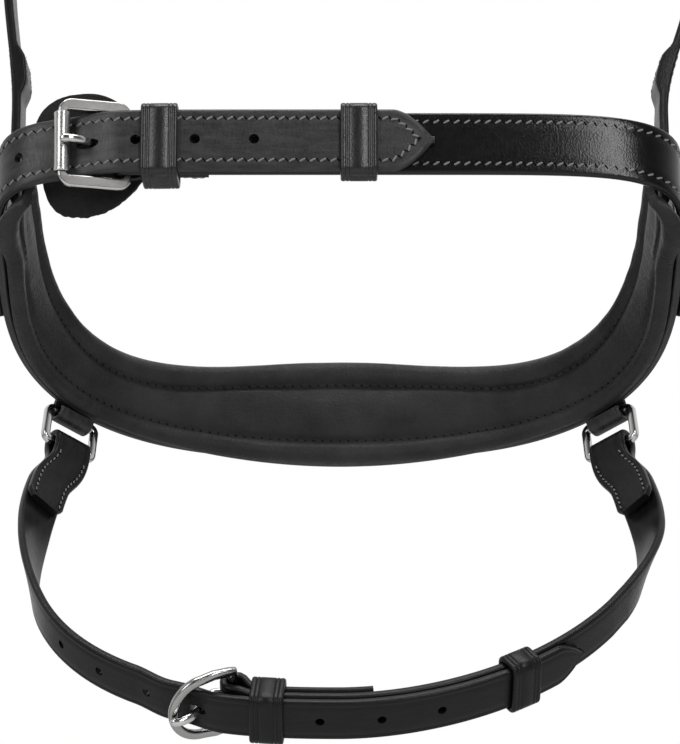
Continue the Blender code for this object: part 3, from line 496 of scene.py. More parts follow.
class Tree:
    """A material's node tree with short calls to add and join nodes."""

    def __init__(self, name: str) -> None:
        """Start a material with a Principled shader.

        Args:
            name: The material's name.
        """
        self.material = bpy.data.materials.new(name)
        self.material.use_nodes = True
        self.nodes = self.material.node_tree.nodes
        self.links = self.material.node_tree.links
        self.shader = self.nodes["Principled BSDF"]
        self.coordinates = self.nodes.new("ShaderNodeTexCoord")

    def set(self, **values: object) -> None:
        """Set sockets of the shader by name, with underscores for spaces."""
        for name, value in values.items():
            self.shader.inputs[name.replace("_", " ")].default_value = value

    def mapped(self, source: str, scale: Sequence[float]) -> bpy.types.NodeSocket:
        """Coordinates of that kind, stretched by scale.

        Args:
            source: Name of the coordinates' output.
            scale: The stretch in X, Y and Z.

        Returns:
            The coordinates' socket.
        """
        node = self.nodes.new("ShaderNodeMapping")
        node.inputs["Scale"].default_value = scale
        self.links.new(self.coordinates.outputs[source], node.inputs["Vector"])
        return node.outputs["Vector"]

    def noise(self, vector: bpy.types.NodeSocket, scale: float, detail: float = 3.0,
              roughness: float = 0.55) -> bpy.types.NodeSocket:
        """A noise texture's value.

        Args:
            vector: The coordinates.
            scale: The texture's scale.
            detail: Number of finer layers.
            roughness: How strong the finer layers are.

        Returns:
            The value's socket.
        """
        node = self.nodes.new("ShaderNodeTexNoise")
        node.inputs["Scale"].default_value = scale
        node.inputs["Detail"].default_value = detail
        node.inputs["Roughness"].default_value = roughness
        self.links.new(vector, node.inputs["Vector"])
        return node.outputs["Fac"]

    def cells(self, vector: bpy.types.NodeSocket, scale: float) -> bpy.types.NodeSocket:
        """Distance to the middle of each cell of a cell texture.

        Args:
            vector: The coordinates.
            scale: The texture's scale.

        Returns:
            The distance's socket.
        """
        node = self.nodes.new("ShaderNodeTexVoronoi")
        node.inputs["Scale"].default_value = scale
        self.links.new(vector, node.inputs["Vector"])
        return node.outputs["Distance"]

    def waves(self, vector: bpy.types.NodeSocket, scale: float, distortion: float) -> bpy.types.NodeSocket:
        """A wave texture's value, its bands set diagonally.

        Args:
            vector: The coordinates.
            scale: The texture's scale.
            distortion: How far the bands are bent.

        Returns:
            The value's socket.
        """
        node = self.nodes.new("ShaderNodeTexWave")
        node.bands_direction = "DIAGONAL"
        node.inputs["Scale"].default_value = scale
        node.inputs["Distortion"].default_value = distortion
        node.inputs["Detail"].default_value = 2.0
        self.links.new(vector, node.inputs["Vector"])
        return node.outputs["Fac"]

    def ramp(self, value: bpy.types.NodeSocket, low: float, high: float,
             to_low: float, to_high: float) -> bpy.types.NodeSocket:
        """Map a value's range onto another, held within it.

        Args:
            value: The value's socket.
            low: Lowest value.
            high: Highest value.
            to_low: What the lowest one becomes.
            to_high: What the highest one becomes.

        Returns:
            The new value's socket.
        """
        node = self.nodes.new("ShaderNodeMapRange")
        for name, number in (("From Min", low), ("From Max", high), ("To Min", to_low), ("To Max", to_high)):
            node.inputs[name].default_value = number
        self.links.new(value, node.inputs["Value"])
        return node.outputs["Result"]

    def blend_colours(self, value: bpy.types.NodeSocket, low: Sequence[float],
                      high: Sequence[float]) -> bpy.types.NodeSocket:
        """A colour between two by a value.

        Args:
            value: The value's socket.
            low: The colour at 0.
            high: The colour at 1.

        Returns:
            The colour's socket.
        """
        node = self.nodes.new("ShaderNodeMix")
        node.data_type = "RGBA"
        node.inputs["A"].default_value = (*low, 1.0)
        node.inputs["B"].default_value = (*high, 1.0)
        self.links.new(value, node.inputs["Factor"])
        return node.outputs["Result"]

    def to(self, value: bpy.types.NodeSocket, socket: str) -> None:
        """Join a value to one of the shader's sockets."""
        self.links.new(value, self.shader.inputs[socket])

    def bumps(self, *layers: tuple[bpy.types.NodeSocket, float, float]) -> None:
        """Chain bump layers into the shader, each as (height, strength, distance).

        Args:
            *layers: Each layer's height socket, strength and distance.
        """
        normal = None
        for height, strength, distance in layers:
            node = self.nodes.new("ShaderNodeBump")
            node.inputs["Strength"].default_value = strength
            node.inputs["Distance"].default_value = distance
            self.links.new(height, node.inputs["Height"])
            if normal is not None:
                self.links.new(normal, node.inputs["Normal"])
            normal = node.outputs["Normal"]
        self.links.new(normal, self.shader.inputs["Normal"])


def by_ray(tree: bpy.types.NodeTree, plain: float,
           levels: Sequence[tuple[str, object]]) -> bpy.types.NodeSocket:
    """A strength that depends on the kind of ray.

    Args:
        tree: The node tree that takes the nodes.
        plain: The strength for all other rays.
        levels: Each kind of ray with its strength, a number or a socket.

    Returns:
        The strength's socket.
    """
    path = tree.nodes.new("ShaderNodeLightPath")
    strength = plain
    for kind, level in levels:
        mix = tree.nodes.new("ShaderNodeMix")
        tree.links.new(path.outputs[kind], mix.inputs["Factor"])
        for socket, value in (("A", strength), ("B", level)):
            if isinstance(value, float):
                mix.inputs[socket].default_value = value
            else:
                tree.links.new(value, mix.inputs[socket])
        strength = mix.outputs["Result"]
    return strength


@dataclass(frozen=True)
class SmoothLeather:
    """Vegetable-tanned strap leather, dyed black and dressed to a satin shine."""

    name: str
    shine: tuple[float, float]
    specular: float
    streaking: float = 0.16
    unevenness: float = 0.14
    dark: tuple[float, float, float] = (0.0036, 0.0036, 0.0038)
    light: tuple[float, float, float] = (0.0230, 0.0230, 0.0235)

    def build(self) -> bpy.types.Material:
        """The leather's material.

        Returns:
            The material.
        """
        tree = Tree(self.name)
        place = tree.mapped("Object", (1, 1, 1))
        grain = tree.cells(place, 1500)
        pores = tree.noise(place, 2600, 2)
        cloud = tree.noise(place, 60, 5, 0.65)
        streaks = tree.noise(tree.mapped("UV", (1700, 260, 1)), 1.0, 3, 0.65)
        wear = tree.noise(tree.mapped("UV", (90, 420, 1)), 1.0, 5, 0.7)
        tree.to(tree.blend_colours(tree.ramp(wear, 0.36, 0.66, 0, 1), self.dark, self.light), "Base Color")
        tree.to(tree.ramp(streaks, 0.3, 0.7, *self.shine), "Roughness")
        tree.set(Specular_IOR_Level=self.specular)
        tree.bumps((cloud, self.unevenness, 0.0012), (streaks, self.streaking, 0.00012),
                   (grain, 0.20, 0.00016), (pores, 0.2, 0.00012))
        return tree.material


@dataclass(frozen=True)
class SlitShade:
    """Painted shade: a near-black sheet laid over each awl slit, where the hole would lie in shade."""

    name: str
    dark: tuple[float, float, float]
    light: tuple[float, float, float]
    specular: float

    def build(self) -> bpy.types.Material:
        """The painted slit shade's material.

        Returns:
            The material.
        """
        tree = Tree(self.name)
        place = tree.mapped("Object", (1, 1, 1))
        shade_mottle = tree.noise(place, 900, 5, 0.7)
        tree.to(tree.blend_colours(shade_mottle, self.dark, self.light), "Base Color")
        tree.set(Roughness=0.62, Specular_IOR_Level=self.specular)
        tree.bumps((shade_mottle, 0.35, 0.0003))
        return tree.material


@dataclass(frozen=True)
class SoftLeather:
    """Supple padding leather with a pebbled, matt face and fine creases."""

    name: str = "soft_leather"
    dark: tuple[float, float, float] = (0.0115, 0.0115, 0.0118)
    light: tuple[float, float, float] = (0.0245, 0.0245, 0.0250)

    def build(self) -> bpy.types.Material:
        """The leather's material.

        Returns:
            The material.
        """
        tree = Tree(self.name)
        place = tree.mapped("Object", (1, 1, 1))
        grain = tree.cells(place, 1150)
        cloud = tree.noise(place, 55, 5)
        creases = tree.noise(tree.mapped("UV", (420, 70, 1)), 1.0, 4, 0.6)
        fine = tree.noise(tree.mapped("UV", (1350, 330, 1)), 1.0, 3, 0.6)
        tree.to(tree.blend_colours(tree.ramp(cloud, 0.32, 0.68, 0, 1), self.dark, self.light), "Base Color")
        tree.to(tree.ramp(creases, 0.3, 0.7, 0.42, 0.58), "Roughness")
        tree.set(Specular_IOR_Level=0.22)
        tree.bumps((creases, 0.34, 0.0006), (fine, 0.62, 0.0004), (grain, 0.50, 0.00030))
        return tree.material


@dataclass(frozen=True)
class Suede:
    """Rough flesh side of leather, cut and left raw."""

    name: str = "suede"
    dark: tuple[float, float, float] = (0.0060, 0.0060, 0.0061)
    light: tuple[float, float, float] = (0.0200, 0.0200, 0.0203)

    def build(self) -> bpy.types.Material:
        """The suede's material.

        Returns:
            The material.
        """
        tree = Tree(self.name)
        place = tree.mapped("Object", (1, 1, 1))
        nap = tree.noise(place, 1700, 5, 0.75)
        tufts = tree.noise(place, 420, 4, 0.7)
        tree.to(tree.blend_colours(tufts, self.dark, self.light), "Base Color")
        tree.set(Roughness=0.95, Sheen_Weight=0.05, Sheen_Roughness=0.6, Specular_IOR_Level=0.1)
        tree.bumps((tufts, 0.7, 0.0007), (nap, 0.8, 0.0005))
        return tree.material


@dataclass(frozen=True)
class Steel:
    """Stainless steel, brush-finished on its flats or polished, in a tint that some finishes darken as
    painted shade.
    """

    name: str
    tint: tuple[float, float, float]
    shine: tuple[float, float]
    brushing: float
    shade: float = 0.86

    def build(self) -> bpy.types.Material:
        """The steel's material.

        Returns:
            The material.
        """
        tree = Tree(self.name)
        lines = tree.noise(tree.mapped("Object", (350, 2600, 5200)), 1.0, 2)
        cloud = tree.noise(tree.mapped("Object", (1, 1, 1)), 240, 3)
        darker = tuple(c * self.shade for c in self.tint)
        tree.to(tree.blend_colours(cloud, darker, self.tint), "Base Color")
        tree.to(tree.ramp(lines, 0.3, 0.7, *self.shine), "Roughness")
        tree.set(Metallic=1.0)
        tree.bumps((lines, self.brushing, 0.00004), (cloud, 0.03, 0.00005))
        return tree.material


@dataclass(frozen=True)
class Thread:
    """Waxed twisted thread."""

    name: str
    tint: tuple[float, float, float]
    shade: float = 0.62

    def build(self) -> bpy.types.Material:
        """The thread's material.

        Returns:
            The material.
        """
        tree = Tree(self.name)
        twist = tree.waves(tree.mapped("UV", (1, 1, 1)), 1.6, 1.0)
        fluff = tree.noise(tree.mapped("Object", (1, 1, 1)), 1200, 2)
        darker = tuple(c * self.shade for c in self.tint)
        tree.to(tree.blend_colours(fluff, darker, self.tint), "Base Color")
        tree.set(Roughness=0.72, Specular_IOR_Level=0.3)
        tree.bumps((twist, 0.4, 0.0001), (fluff, 0.4, 0.00008))
        return tree.material


class Finishes:
    """Every material, made once."""

    def __init__(self) -> None:
        """Build the materials."""
        self.leather = SmoothLeather("strap_leather", (0.34, 0.50), 0.42).build()
        self.glossy = SmoothLeather("polished_leather", (0.14, 0.22), 0.30, 0.12, 0.03,
                                    (0.0026, 0.0026, 0.0027), (0.0052, 0.0052, 0.0054)).build()
        self.dull = SmoothLeather("dull_leather", (0.30, 0.42), 0.18, 0.12, 0.10,
                                  (0.0030, 0.0030, 0.0031), (0.0070, 0.0070, 0.0072)).build()
        self.burnished = SmoothLeather("burnished_leather", (0.26, 0.36), 0.42, 0.12, 0.05,
                                       (0.0040, 0.0040, 0.0042), (0.0100, 0.0100, 0.0103)).build()
        # Near-black sheets over the awl slits: painted shade where the holes would be dark.
        self.slit = SlitShade("painted_slit_shade", (0.0006, 0.0006, 0.0006), (0.0030, 0.0030, 0.0030), 0.05).build()
        self.soft = SoftLeather().build()
        self.suede = Suede().build()
        # Much darker tint than the polished bevels: the frame's flats are rougher and carry painted shade.
        self.brushed_and_shaded = Steel("brushed_steel_shaded", (0.17, 0.167, 0.165), (0.38, 0.52), 0.35).build()
        self.satin = Steel("satin_steel", (0.52, 0.515, 0.51), (0.24, 0.34), 0.15).build()
        self.polished = Steel("polished_steel", (0.56, 0.555, 0.55), (0.08, 0.16), 0.05).build()
        # Rougher from wear, and darker in tint than the polished tongue as painted shade on the flash
        # horseshoe.
        self.worn = Steel("worn_steel_shaded", (0.34, 0.337, 0.334), (0.14, 0.26), 0.10).build()
        self.thread = Thread("grey_thread", (0.20, 0.20, 0.205)).build()
        self.black_thread = Thread("black_thread", (0.028, 0.028, 0.029)).build()


# Meshes


@dataclass(frozen=True)
class Station:
    """One cross-section of a strap: where it lies and how big it is."""

    s: float
    q: float
    width: float
    thickness: float


@dataclass(frozen=True)
class StrapProfile:
    """The shape of a strap's cross-section.

    Attributes:
        rounding: Radius of the worn edges.
        crease_in: Distance from the edge to the line pressed along it, 0 for none.
        crease_depth: Depth of that line.
        crease_half: Half of its width.
        rim_drop: How far the face slopes down from there to its edge.
        layered: Whether the edge shows the seam of two layers.
        layer_seam: Depth of that seam.
        crease_fade: Where the strap narrows, the line fades over this much of its half width.
    """

    rounding: float = 0.9 * MM
    crease_in: float = 0.0
    crease_depth: float = 0.12 * MM
    crease_half: float = 0.35 * MM
    rim_drop: float = 0.0
    layered: bool = False
    layer_seam: float = 0.22 * MM
    crease_fade: float = 2 * MM

    def points(self, width: float, thickness: float) -> Outline:
        """The section as (across, outward) pairs, starting inside on the left.

        Args:
            width: The strap's width.
            thickness: Its thickness.

        Returns:
            The section's points.
        """
        r = min(self.rounding, thickness * 0.44, width * 0.3)
        w, t = width / 2, thickness / 2
        corner = [(r * math.sin(math.radians(a)), r * math.cos(math.radians(a)))
                  for a in (0, 22, 45, 68, 90)]
        low_right = [(w - r + x, -t + r - y) for x, y in corner]
        high_right = [(w - r + x, t - self.rim_drop - r + y) for x, y in reversed(corner)]
        edge = [(w - (self.layer_seam if self.layered else 0.0), -self.rim_drop / 2)]
        top = self._top(w, t, r)
        right = [(a, -t) for a in (0.0, w * 0.45)] + low_right + edge + high_right + top
        left = [(-a, b) for a, b in reversed(right)]
        return left[1:-1] + right

    def _top(self, w: float, t: float, r: float) -> Outline:
        """The face from the worn edge on the right to the middle.

        Args:
            w: Half of the width.
            t: Half of the thickness.
            r: Radius of the worn edge.

        Returns:
            The face's points.
        """
        start = w - r
        marks = []
        if self.crease_in:
            line = max(w - self.crease_in, start * 0.6)
            wide = min(self.crease_half, (start - line) * 0.9)
            depth = self.crease_depth * min(1.0, max(0.0, (w - self.crease_in) / self.crease_fade))
            marks = [(line + wide, t), (line, t - depth), (line - wide, t)]
            start = line - wide
        return marks + [(start * 0.62, t), (start * 0.3, t), (0.0, t)]


def mesh_of_grid(name: str, rows: list[list[Vector]], along: Sequence[float],
                 looped: bool = False) -> bpy.types.Mesh:
    """Skin rows of points, with the metric distance along and round as UV.

    Args:
        name: The mesh's name.
        rows: Cross-sections with equal numbers of points.
        along: Distance along at each row.
        looped: Join the last row to the first, where both ends are closed with a face otherwise.

    Returns:
        The mesh, with its faces pointing out.
    """
    bm = bmesh.new()
    uv = bm.loops.layers.uv.new("metric")
    verts = [[bm.verts.new(p) for p in row] for row in rows]
    count = len(rows[0])
    middle = rows[len(rows) // 2]
    around = [0.0]
    for i in range(count):
        around.append(around[-1] + (middle[(i + 1) % count] - middle[i]).length)
    pairs = list(range(len(rows) - 1)) + ([len(rows) - 1] if looped else [])
    step = (along[-1] - along[0]) / max(1, len(rows) - 1)
    for r in pairs:
        after = (r + 1) % len(rows)
        u0, u1 = along[r], along[after] if after else along[r] + step
        for i in range(count):
            j = (i + 1) % count
            face = bm.faces.new((verts[r][i], verts[r][j], verts[after][j], verts[after][i]))
            face.smooth = True
            corners = ((u0, around[i]), (u0, around[i + 1]), (u1, around[i + 1]), (u1, around[i]))
            for loop, corner in zip(face.loops, corners):
                loop[uv].uv = corner
    if not looped:
        bm.faces.new(verts[0])
        bm.faces.new(verts[-1])
    bmesh.ops.recalc_face_normals(bm, faces=bm.faces)
    mesh = bpy.data.meshes.new(name)
    bm.to_mesh(mesh)
    bm.free()
    return mesh


@dataclass
class Piece:
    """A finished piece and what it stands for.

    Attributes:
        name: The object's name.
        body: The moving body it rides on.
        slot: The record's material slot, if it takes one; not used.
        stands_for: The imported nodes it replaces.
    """

    name: str
    body: str
    slot: Optional[Slot] = None
    stands_for: tuple[str, ...] = ()

    def place(self, mesh: bpy.types.Mesh, *materials: bpy.types.Material,
              sharp: float = 42.0) -> bpy.types.Object:
        """Link the mesh as an object, dress it and fasten it to its body.

        Args:
            mesh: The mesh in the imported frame.
            materials: Its material slots in order.
            sharp: Angle in degrees over which edges stay sharp.

        Returns:
            The object.
        """
        made = bpy.data.objects.new(self.name, mesh)
        bpy.context.scene.collection.objects.link(made)
        mesh.materials.clear()
        for material in materials:
            mesh.materials.append(material)
        mesh.shade_smooth()
        mesh.set_sharp_from_angle(angle=math.radians(sharp))
        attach(made, self.body)
        if self.stands_for:
            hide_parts(*self.stands_for)
        LOG.info("%s: %d faces on %s", self.name, len(mesh.polygons), self.body)
        return made


def place_steel(name: str, node: str, mesh: bpy.types.Mesh, *finishes: bpy.types.Material,
                sharp: float = 42.0) -> bpy.types.Object:
    """Place a steel piece that is the only one on the body of its node's name.

    Args:
        name: The object's name.
        node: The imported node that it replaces, and its body.
        mesh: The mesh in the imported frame.
        finishes: Its materials in order.
        sharp: Angle in degrees over which edges stay sharp.

    Returns:
        The object.
    """
    return Piece(name, node, Slot.STEEL, (node,)).place(mesh, *finishes, sharp=sharp)


def strap_mesh(name: str, route: Route, stations: Sequence[Station],
               profile: StrapProfile, run: int = 1) -> bpy.types.Mesh:
    """Loft a strap's fine section through its stations.

    Args:
        name: The mesh's name.
        route: The strap's line.
        stations: The sections in order.
        profile: The section's shape.
        run: 1 where the strap's main run goes to higher s and -1 where it goes to lower s.

    Returns:
        The strap, with its grain side outward.
    """
    centres = [route.place(station.s, station.q) for station in stations]
    rows, along = [], [0.0]
    for i, station in enumerate(stations):
        before = centres[max(i - 1, 0)]
        after = centres[min(i + 1, len(centres) - 1)]
        direction = (after - before).normalized()
        normal = direction.cross(route.at(station.s).across).normalized()
        across = normal.cross(direction)
        rows.append([centres[i] + across * a + normal * (b * run)
                     for a, b in profile.points(station.width, station.thickness)])
        if i:
            along.append(along[-1] + (centres[i] - centres[i - 1]).length)
    return mesh_of_grid(name, rows, along)


def sweep(name: str, path: Sequence[Vector], normal: Vector, section: Outline,
          scales: Optional[Sequence[float]] = None, closed: bool = False) -> bpy.types.Mesh:
    """Carry a section along a path that lies in one plane.

    Args:
        name: The mesh's name.
        path: The path's points.
        normal: The direction square to the path's plane.
        section: Pairs of (in the plane and outward, along the normal).
        scales: The section's scale at each point.
        closed: Whether the path is a loop.

    Returns:
        The mesh.
    """
    rows, along = [], [0.0]
    count = len(path)
    for i, point in enumerate(path):
        before = path[i - 1] if closed or i else path[i]
        after = path[(i + 1) % count] if closed or i < count - 1 else path[i]
        direction = (after - before).normalized()
        side = direction.cross(normal).normalized()
        scale = scales[i] if scales else 1.0
        rows.append([point + side * (a * scale) + normal * (b * scale) for a, b in section])
        if i:
            along.append(along[-1] + (point - path[i - 1]).length)
    return mesh_of_grid(name, rows, along, looped=closed)


def oval(half_a: float, half_b: float, squareness: float = 2.0, sides: int = 16) -> Outline:
    """A squared oval section."""
    return [superellipse(2 * math.pi * (i + 0.5) / sides, half_a, half_b, squareness)
            for i in range(sides)]


def punched(mesh: bpy.types.Mesh, cutter: bpy.types.Mesh) -> bpy.types.Mesh:
    """The mesh with a closed cutter taken out of it.

    Args:
        mesh: The mesh to cut.
        cutter: What is taken out.

    Returns:
        The cut mesh.
    """
    scene = bpy.context.scene.collection
    part = bpy.data.objects.new("blank", mesh)
    tool = bpy.data.objects.new("punch", cutter)
    scene.objects.link(part)
    scene.objects.link(tool)
    modifier = part.modifiers.new("punch", "BOOLEAN")
    modifier.operation = "DIFFERENCE"
    modifier.solver = "EXACT"
    modifier.object = tool
    bpy.context.view_layer.update()
    evaluated = part.evaluated_get(bpy.context.evaluated_depsgraph_get())
    result = bpy.data.meshes.new_from_object(evaluated)
    bpy.data.objects.remove(part, do_unlink=True)
    bpy.data.objects.remove(tool, do_unlink=True)
    return result


def plate_mesh(name: str, outlines: list[Outline], thickness: float, rounding: float,
               matrix: Matrix) -> bpy.types.Mesh:
    """A flat outline with holes, its edges rounded, placed by a matrix.

    Args:
        name: The mesh's name.
        outlines: The outer outline and the holes.
        thickness: The plate's thickness.
        rounding: Radius of its edges.
        matrix: Its placement, with local Z square to the plate.

    Returns:
        The mesh.
    """
    curve = bpy.data.curves.new(name, "CURVE")
    curve.dimensions = "2D"
    curve.fill_mode = "BOTH"
    curve.extrude = thickness / 2 - rounding
    curve.bevel_depth = rounding
    curve.bevel_resolution = 3
    curve.offset = -rounding
    for outline in outlines:
        spline = curve.splines.new("POLY")
        spline.points.add(len(outline) - 1)
        for i, (x, y) in enumerate(outline):
            spline.points[i].co = (x, y, 0.0, 1.0)
        spline.use_cyclic_u = True
    holder = bpy.data.objects.new(name, curve)
    bpy.context.scene.collection.objects.link(holder)
    bpy.context.view_layer.update()
    evaluated = holder.evaluated_get(bpy.context.evaluated_depsgraph_get())
    mesh = bpy.data.meshes.new_from_object(evaluated)
    bpy.data.objects.remove(holder, do_unlink=True)
    bm = bmesh.new()
    bm.from_mesh(mesh)
    bmesh.ops.remove_doubles(bm, verts=bm.verts, dist=0.00002)
    bmesh.ops.transform(bm, matrix=matrix, verts=bm.verts)
    bmesh.ops.recalc_face_normals(bm, faces=bm.faces)
    bm.to_mesh(mesh)
    bm.free()
    return mesh


@dataclass(frozen=True)
class Stitching:
    """A row of hand-sewn stitches that sink into the leather at both ends.

    Attributes:
        pitch: Distance from hole to hole.
        length: Length of thread that shows in each stitch.
        radius: The thread's radius.
        slant: Degrees by which each stitch leans off the row.
        slit: Length of the awl's slit between two stitches.
        slit_half: Half of the slit's width.
        slit_slant: Degrees by which the slit leans off the row.
        slit_low: Height of the slit's long sides over the leather.
        slit_swell: Added height at its two ends.
    """

    pitch: float = 3.5 * MM
    length: float = 3.1 * MM
    radius: float = 0.37 * MM
    slant: float = 30.0
    slit: float = 1.9 * MM
    slit_half: float = 0.27 * MM
    slit_slant: float = -52.0
    slit_low: float = 0.07 * MM
    slit_swell: float = 0.10 * MM

    def _stitch(self) -> tuple[np.ndarray, list[tuple[int, ...]], np.ndarray]:
        """One stitch: its points, its faces and its UV, along local X.

        Returns:
            The points, the faces and the UV.
        """
        rings, sides = 7, 7
        points, marks = [], []
        for i in range(rings):
            x = -1 + 2 * i / (rings - 1)
            swell = max(0.16, (1 - abs(x) ** 3.2)) ** 0.5
            sink = -self.radius * 1.25 * abs(x) ** 4
            for k in range(sides):
                angle = 2 * math.pi * k / sides
                points.append((x * self.length / 2, self.radius * swell * math.cos(angle),
                               self.radius * (0.8 * swell * math.sin(angle) + 0.1) + sink))
                marks.append((x * 4, k / sides * 3))
        faces = []
        for i in range(rings - 1):
            for k in range(sides):
                a, b = i * sides + k, i * sides + (k + 1) % sides
                faces.append((a, b, b + sides, a + sides))
        return np.array(points), faces, np.array(marks)

    def sew(self, name: str, body: str, rows: Sequence[Row], thread: bpy.types.Material,
            slit: bpy.types.Material) -> None:
        """Sew several rows as one piece, with the awl's slits between the stitches.

        Args:
            name: The piece's name.
            body: The moving body it rides on.
            rows: Each row's (point, along, outward) places, close together.
            thread: The thread's material.
            slit: The slits' material, a painted shade.
        """
        shape, faces, marks = self._stitch()
        count = len(shape)
        rim = self._slit_rim(count)
        slant, cut = math.radians(self.slant), math.radians(self.slit_slant)
        points, polygons, slits, uvs = [], [], [], []
        for row in rows:
            for point, along, outward in self._spaced(row):
                across = outward.cross(along)
                for form, angle, shift in ((shape, slant, 0.0), (rim, cut, self.pitch / 2)):
                    lean = along * math.cos(angle) + across * math.sin(angle)
                    base = len(points) * count
                    basis = np.array([lean, outward.cross(lean), outward])
                    points.append(form @ basis + np.array(point + along * shift))
                    uvs.append(marks)
                    if form is shape:
                        polygons += [tuple(v + base for v in face) for face in faces]
                    else:
                        # Each slit is one flat face that paints the shade of the hole.
                        slits.append(tuple(range(base, base + count)))
        mesh = bpy.data.meshes.new(name)
        mesh.from_pydata(np.vstack(points).tolist(), [], polygons + slits)
        layer = mesh.uv_layers.new(name="metric")
        corners = np.zeros(len(mesh.loops), dtype=np.int32)
        mesh.loops.foreach_get("vertex_index", corners)
        layer.data.foreach_set("uv", np.vstack(uvs)[corners].ravel())
        made = Piece(name, body).place(mesh, thread, slit)
        marked = np.zeros(len(mesh.polygons), dtype=np.int32)
        marked[len(polygons):] = 1
        made.data.polygons.foreach_set("material_index", marked)

    def _slit_rim(self, count: int) -> np.ndarray:
        """The rim of a slit's flat sheet of painted shade, along local X.

        Args:
            count: Number of points.

        Returns:
            The points, one in each row.
        """
        rim = []
        for angle in np.linspace(0, 2 * math.pi, count, endpoint=False):
            c, s = math.cos(angle), math.sin(angle)
            rim.append((c * self.slit / 2, s * self.slit_half, self.slit_low + self.slit_swell * abs(c)))
        return np.array(rim)

    def _spaced(self, row: Row) -> Row:
        """Places a whole number of pitches apart along a row.

        Args:
            row: The row's places, close together.

        Returns:
            The stitches' places.
        """
        lengths = [0.0]
        for (a, _, _), (b, _, _) in zip(row, row[1:]):
            lengths.append(lengths[-1] + (b - a).length)
        count = max(1, round(lengths[-1] / self.pitch))
        places = []
        for i in range(count):
            target = (i + 0.5) * lengths[-1] / count
            k = min(int(np.searchsorted(lengths, target)), len(row) - 1)
            before, after = row[k - 1], row[k]
            share = (target - lengths[k - 1]) / max(lengths[k] - lengths[k - 1], 1e-9)
            along = (after[0] - before[0]).normalized()
            outward = before[2].lerp(after[2], share).normalized()
            places.append((before[0].lerp(after[0], share), along, outward))
        return places


def edge_row(route: Route, places: Sequence[float], height: Callable[[float], float],
             across: Callable[[float], float], face: int = 1) -> Row:
    """A row of places on one face of a strap.

    Args:
        route: The strap's line.
        places: Arc lengths along the row.
        height: Height of the face at each arc length.
        across: Width offset of the row at each arc length.
        face: 1 for the outer face and -1 for the inner one.

    Returns:
        The row.
    """
    row = []
    for s in places:
        spot = route.at(s)
        row.append((spot.point(0.0, height(s), across(s)), spot.along, spot.outward * face))
    return row


def edge_rows(route: Route, places: Sequence[float], height: Callable[[float], float],
              across: Callable[[float], float], face: int = 1) -> list[Row]:
    """Rows of places along both edges of one face of a strap.

    Args:
        route: The strap's line.
        places: Arc lengths along each row.
        height: Height of the face at each arc length.
        across: Distance of the rows from the strap's middle at each arc length.
        face: 1 for the outer face and -1 for the inner one.

    Returns:
        The row on the lower side and the row on the higher side of w.
    """
    return [edge_row(route, places, height, lambda s: side * across(s), face) for side in (-1, 1)]


# Closures


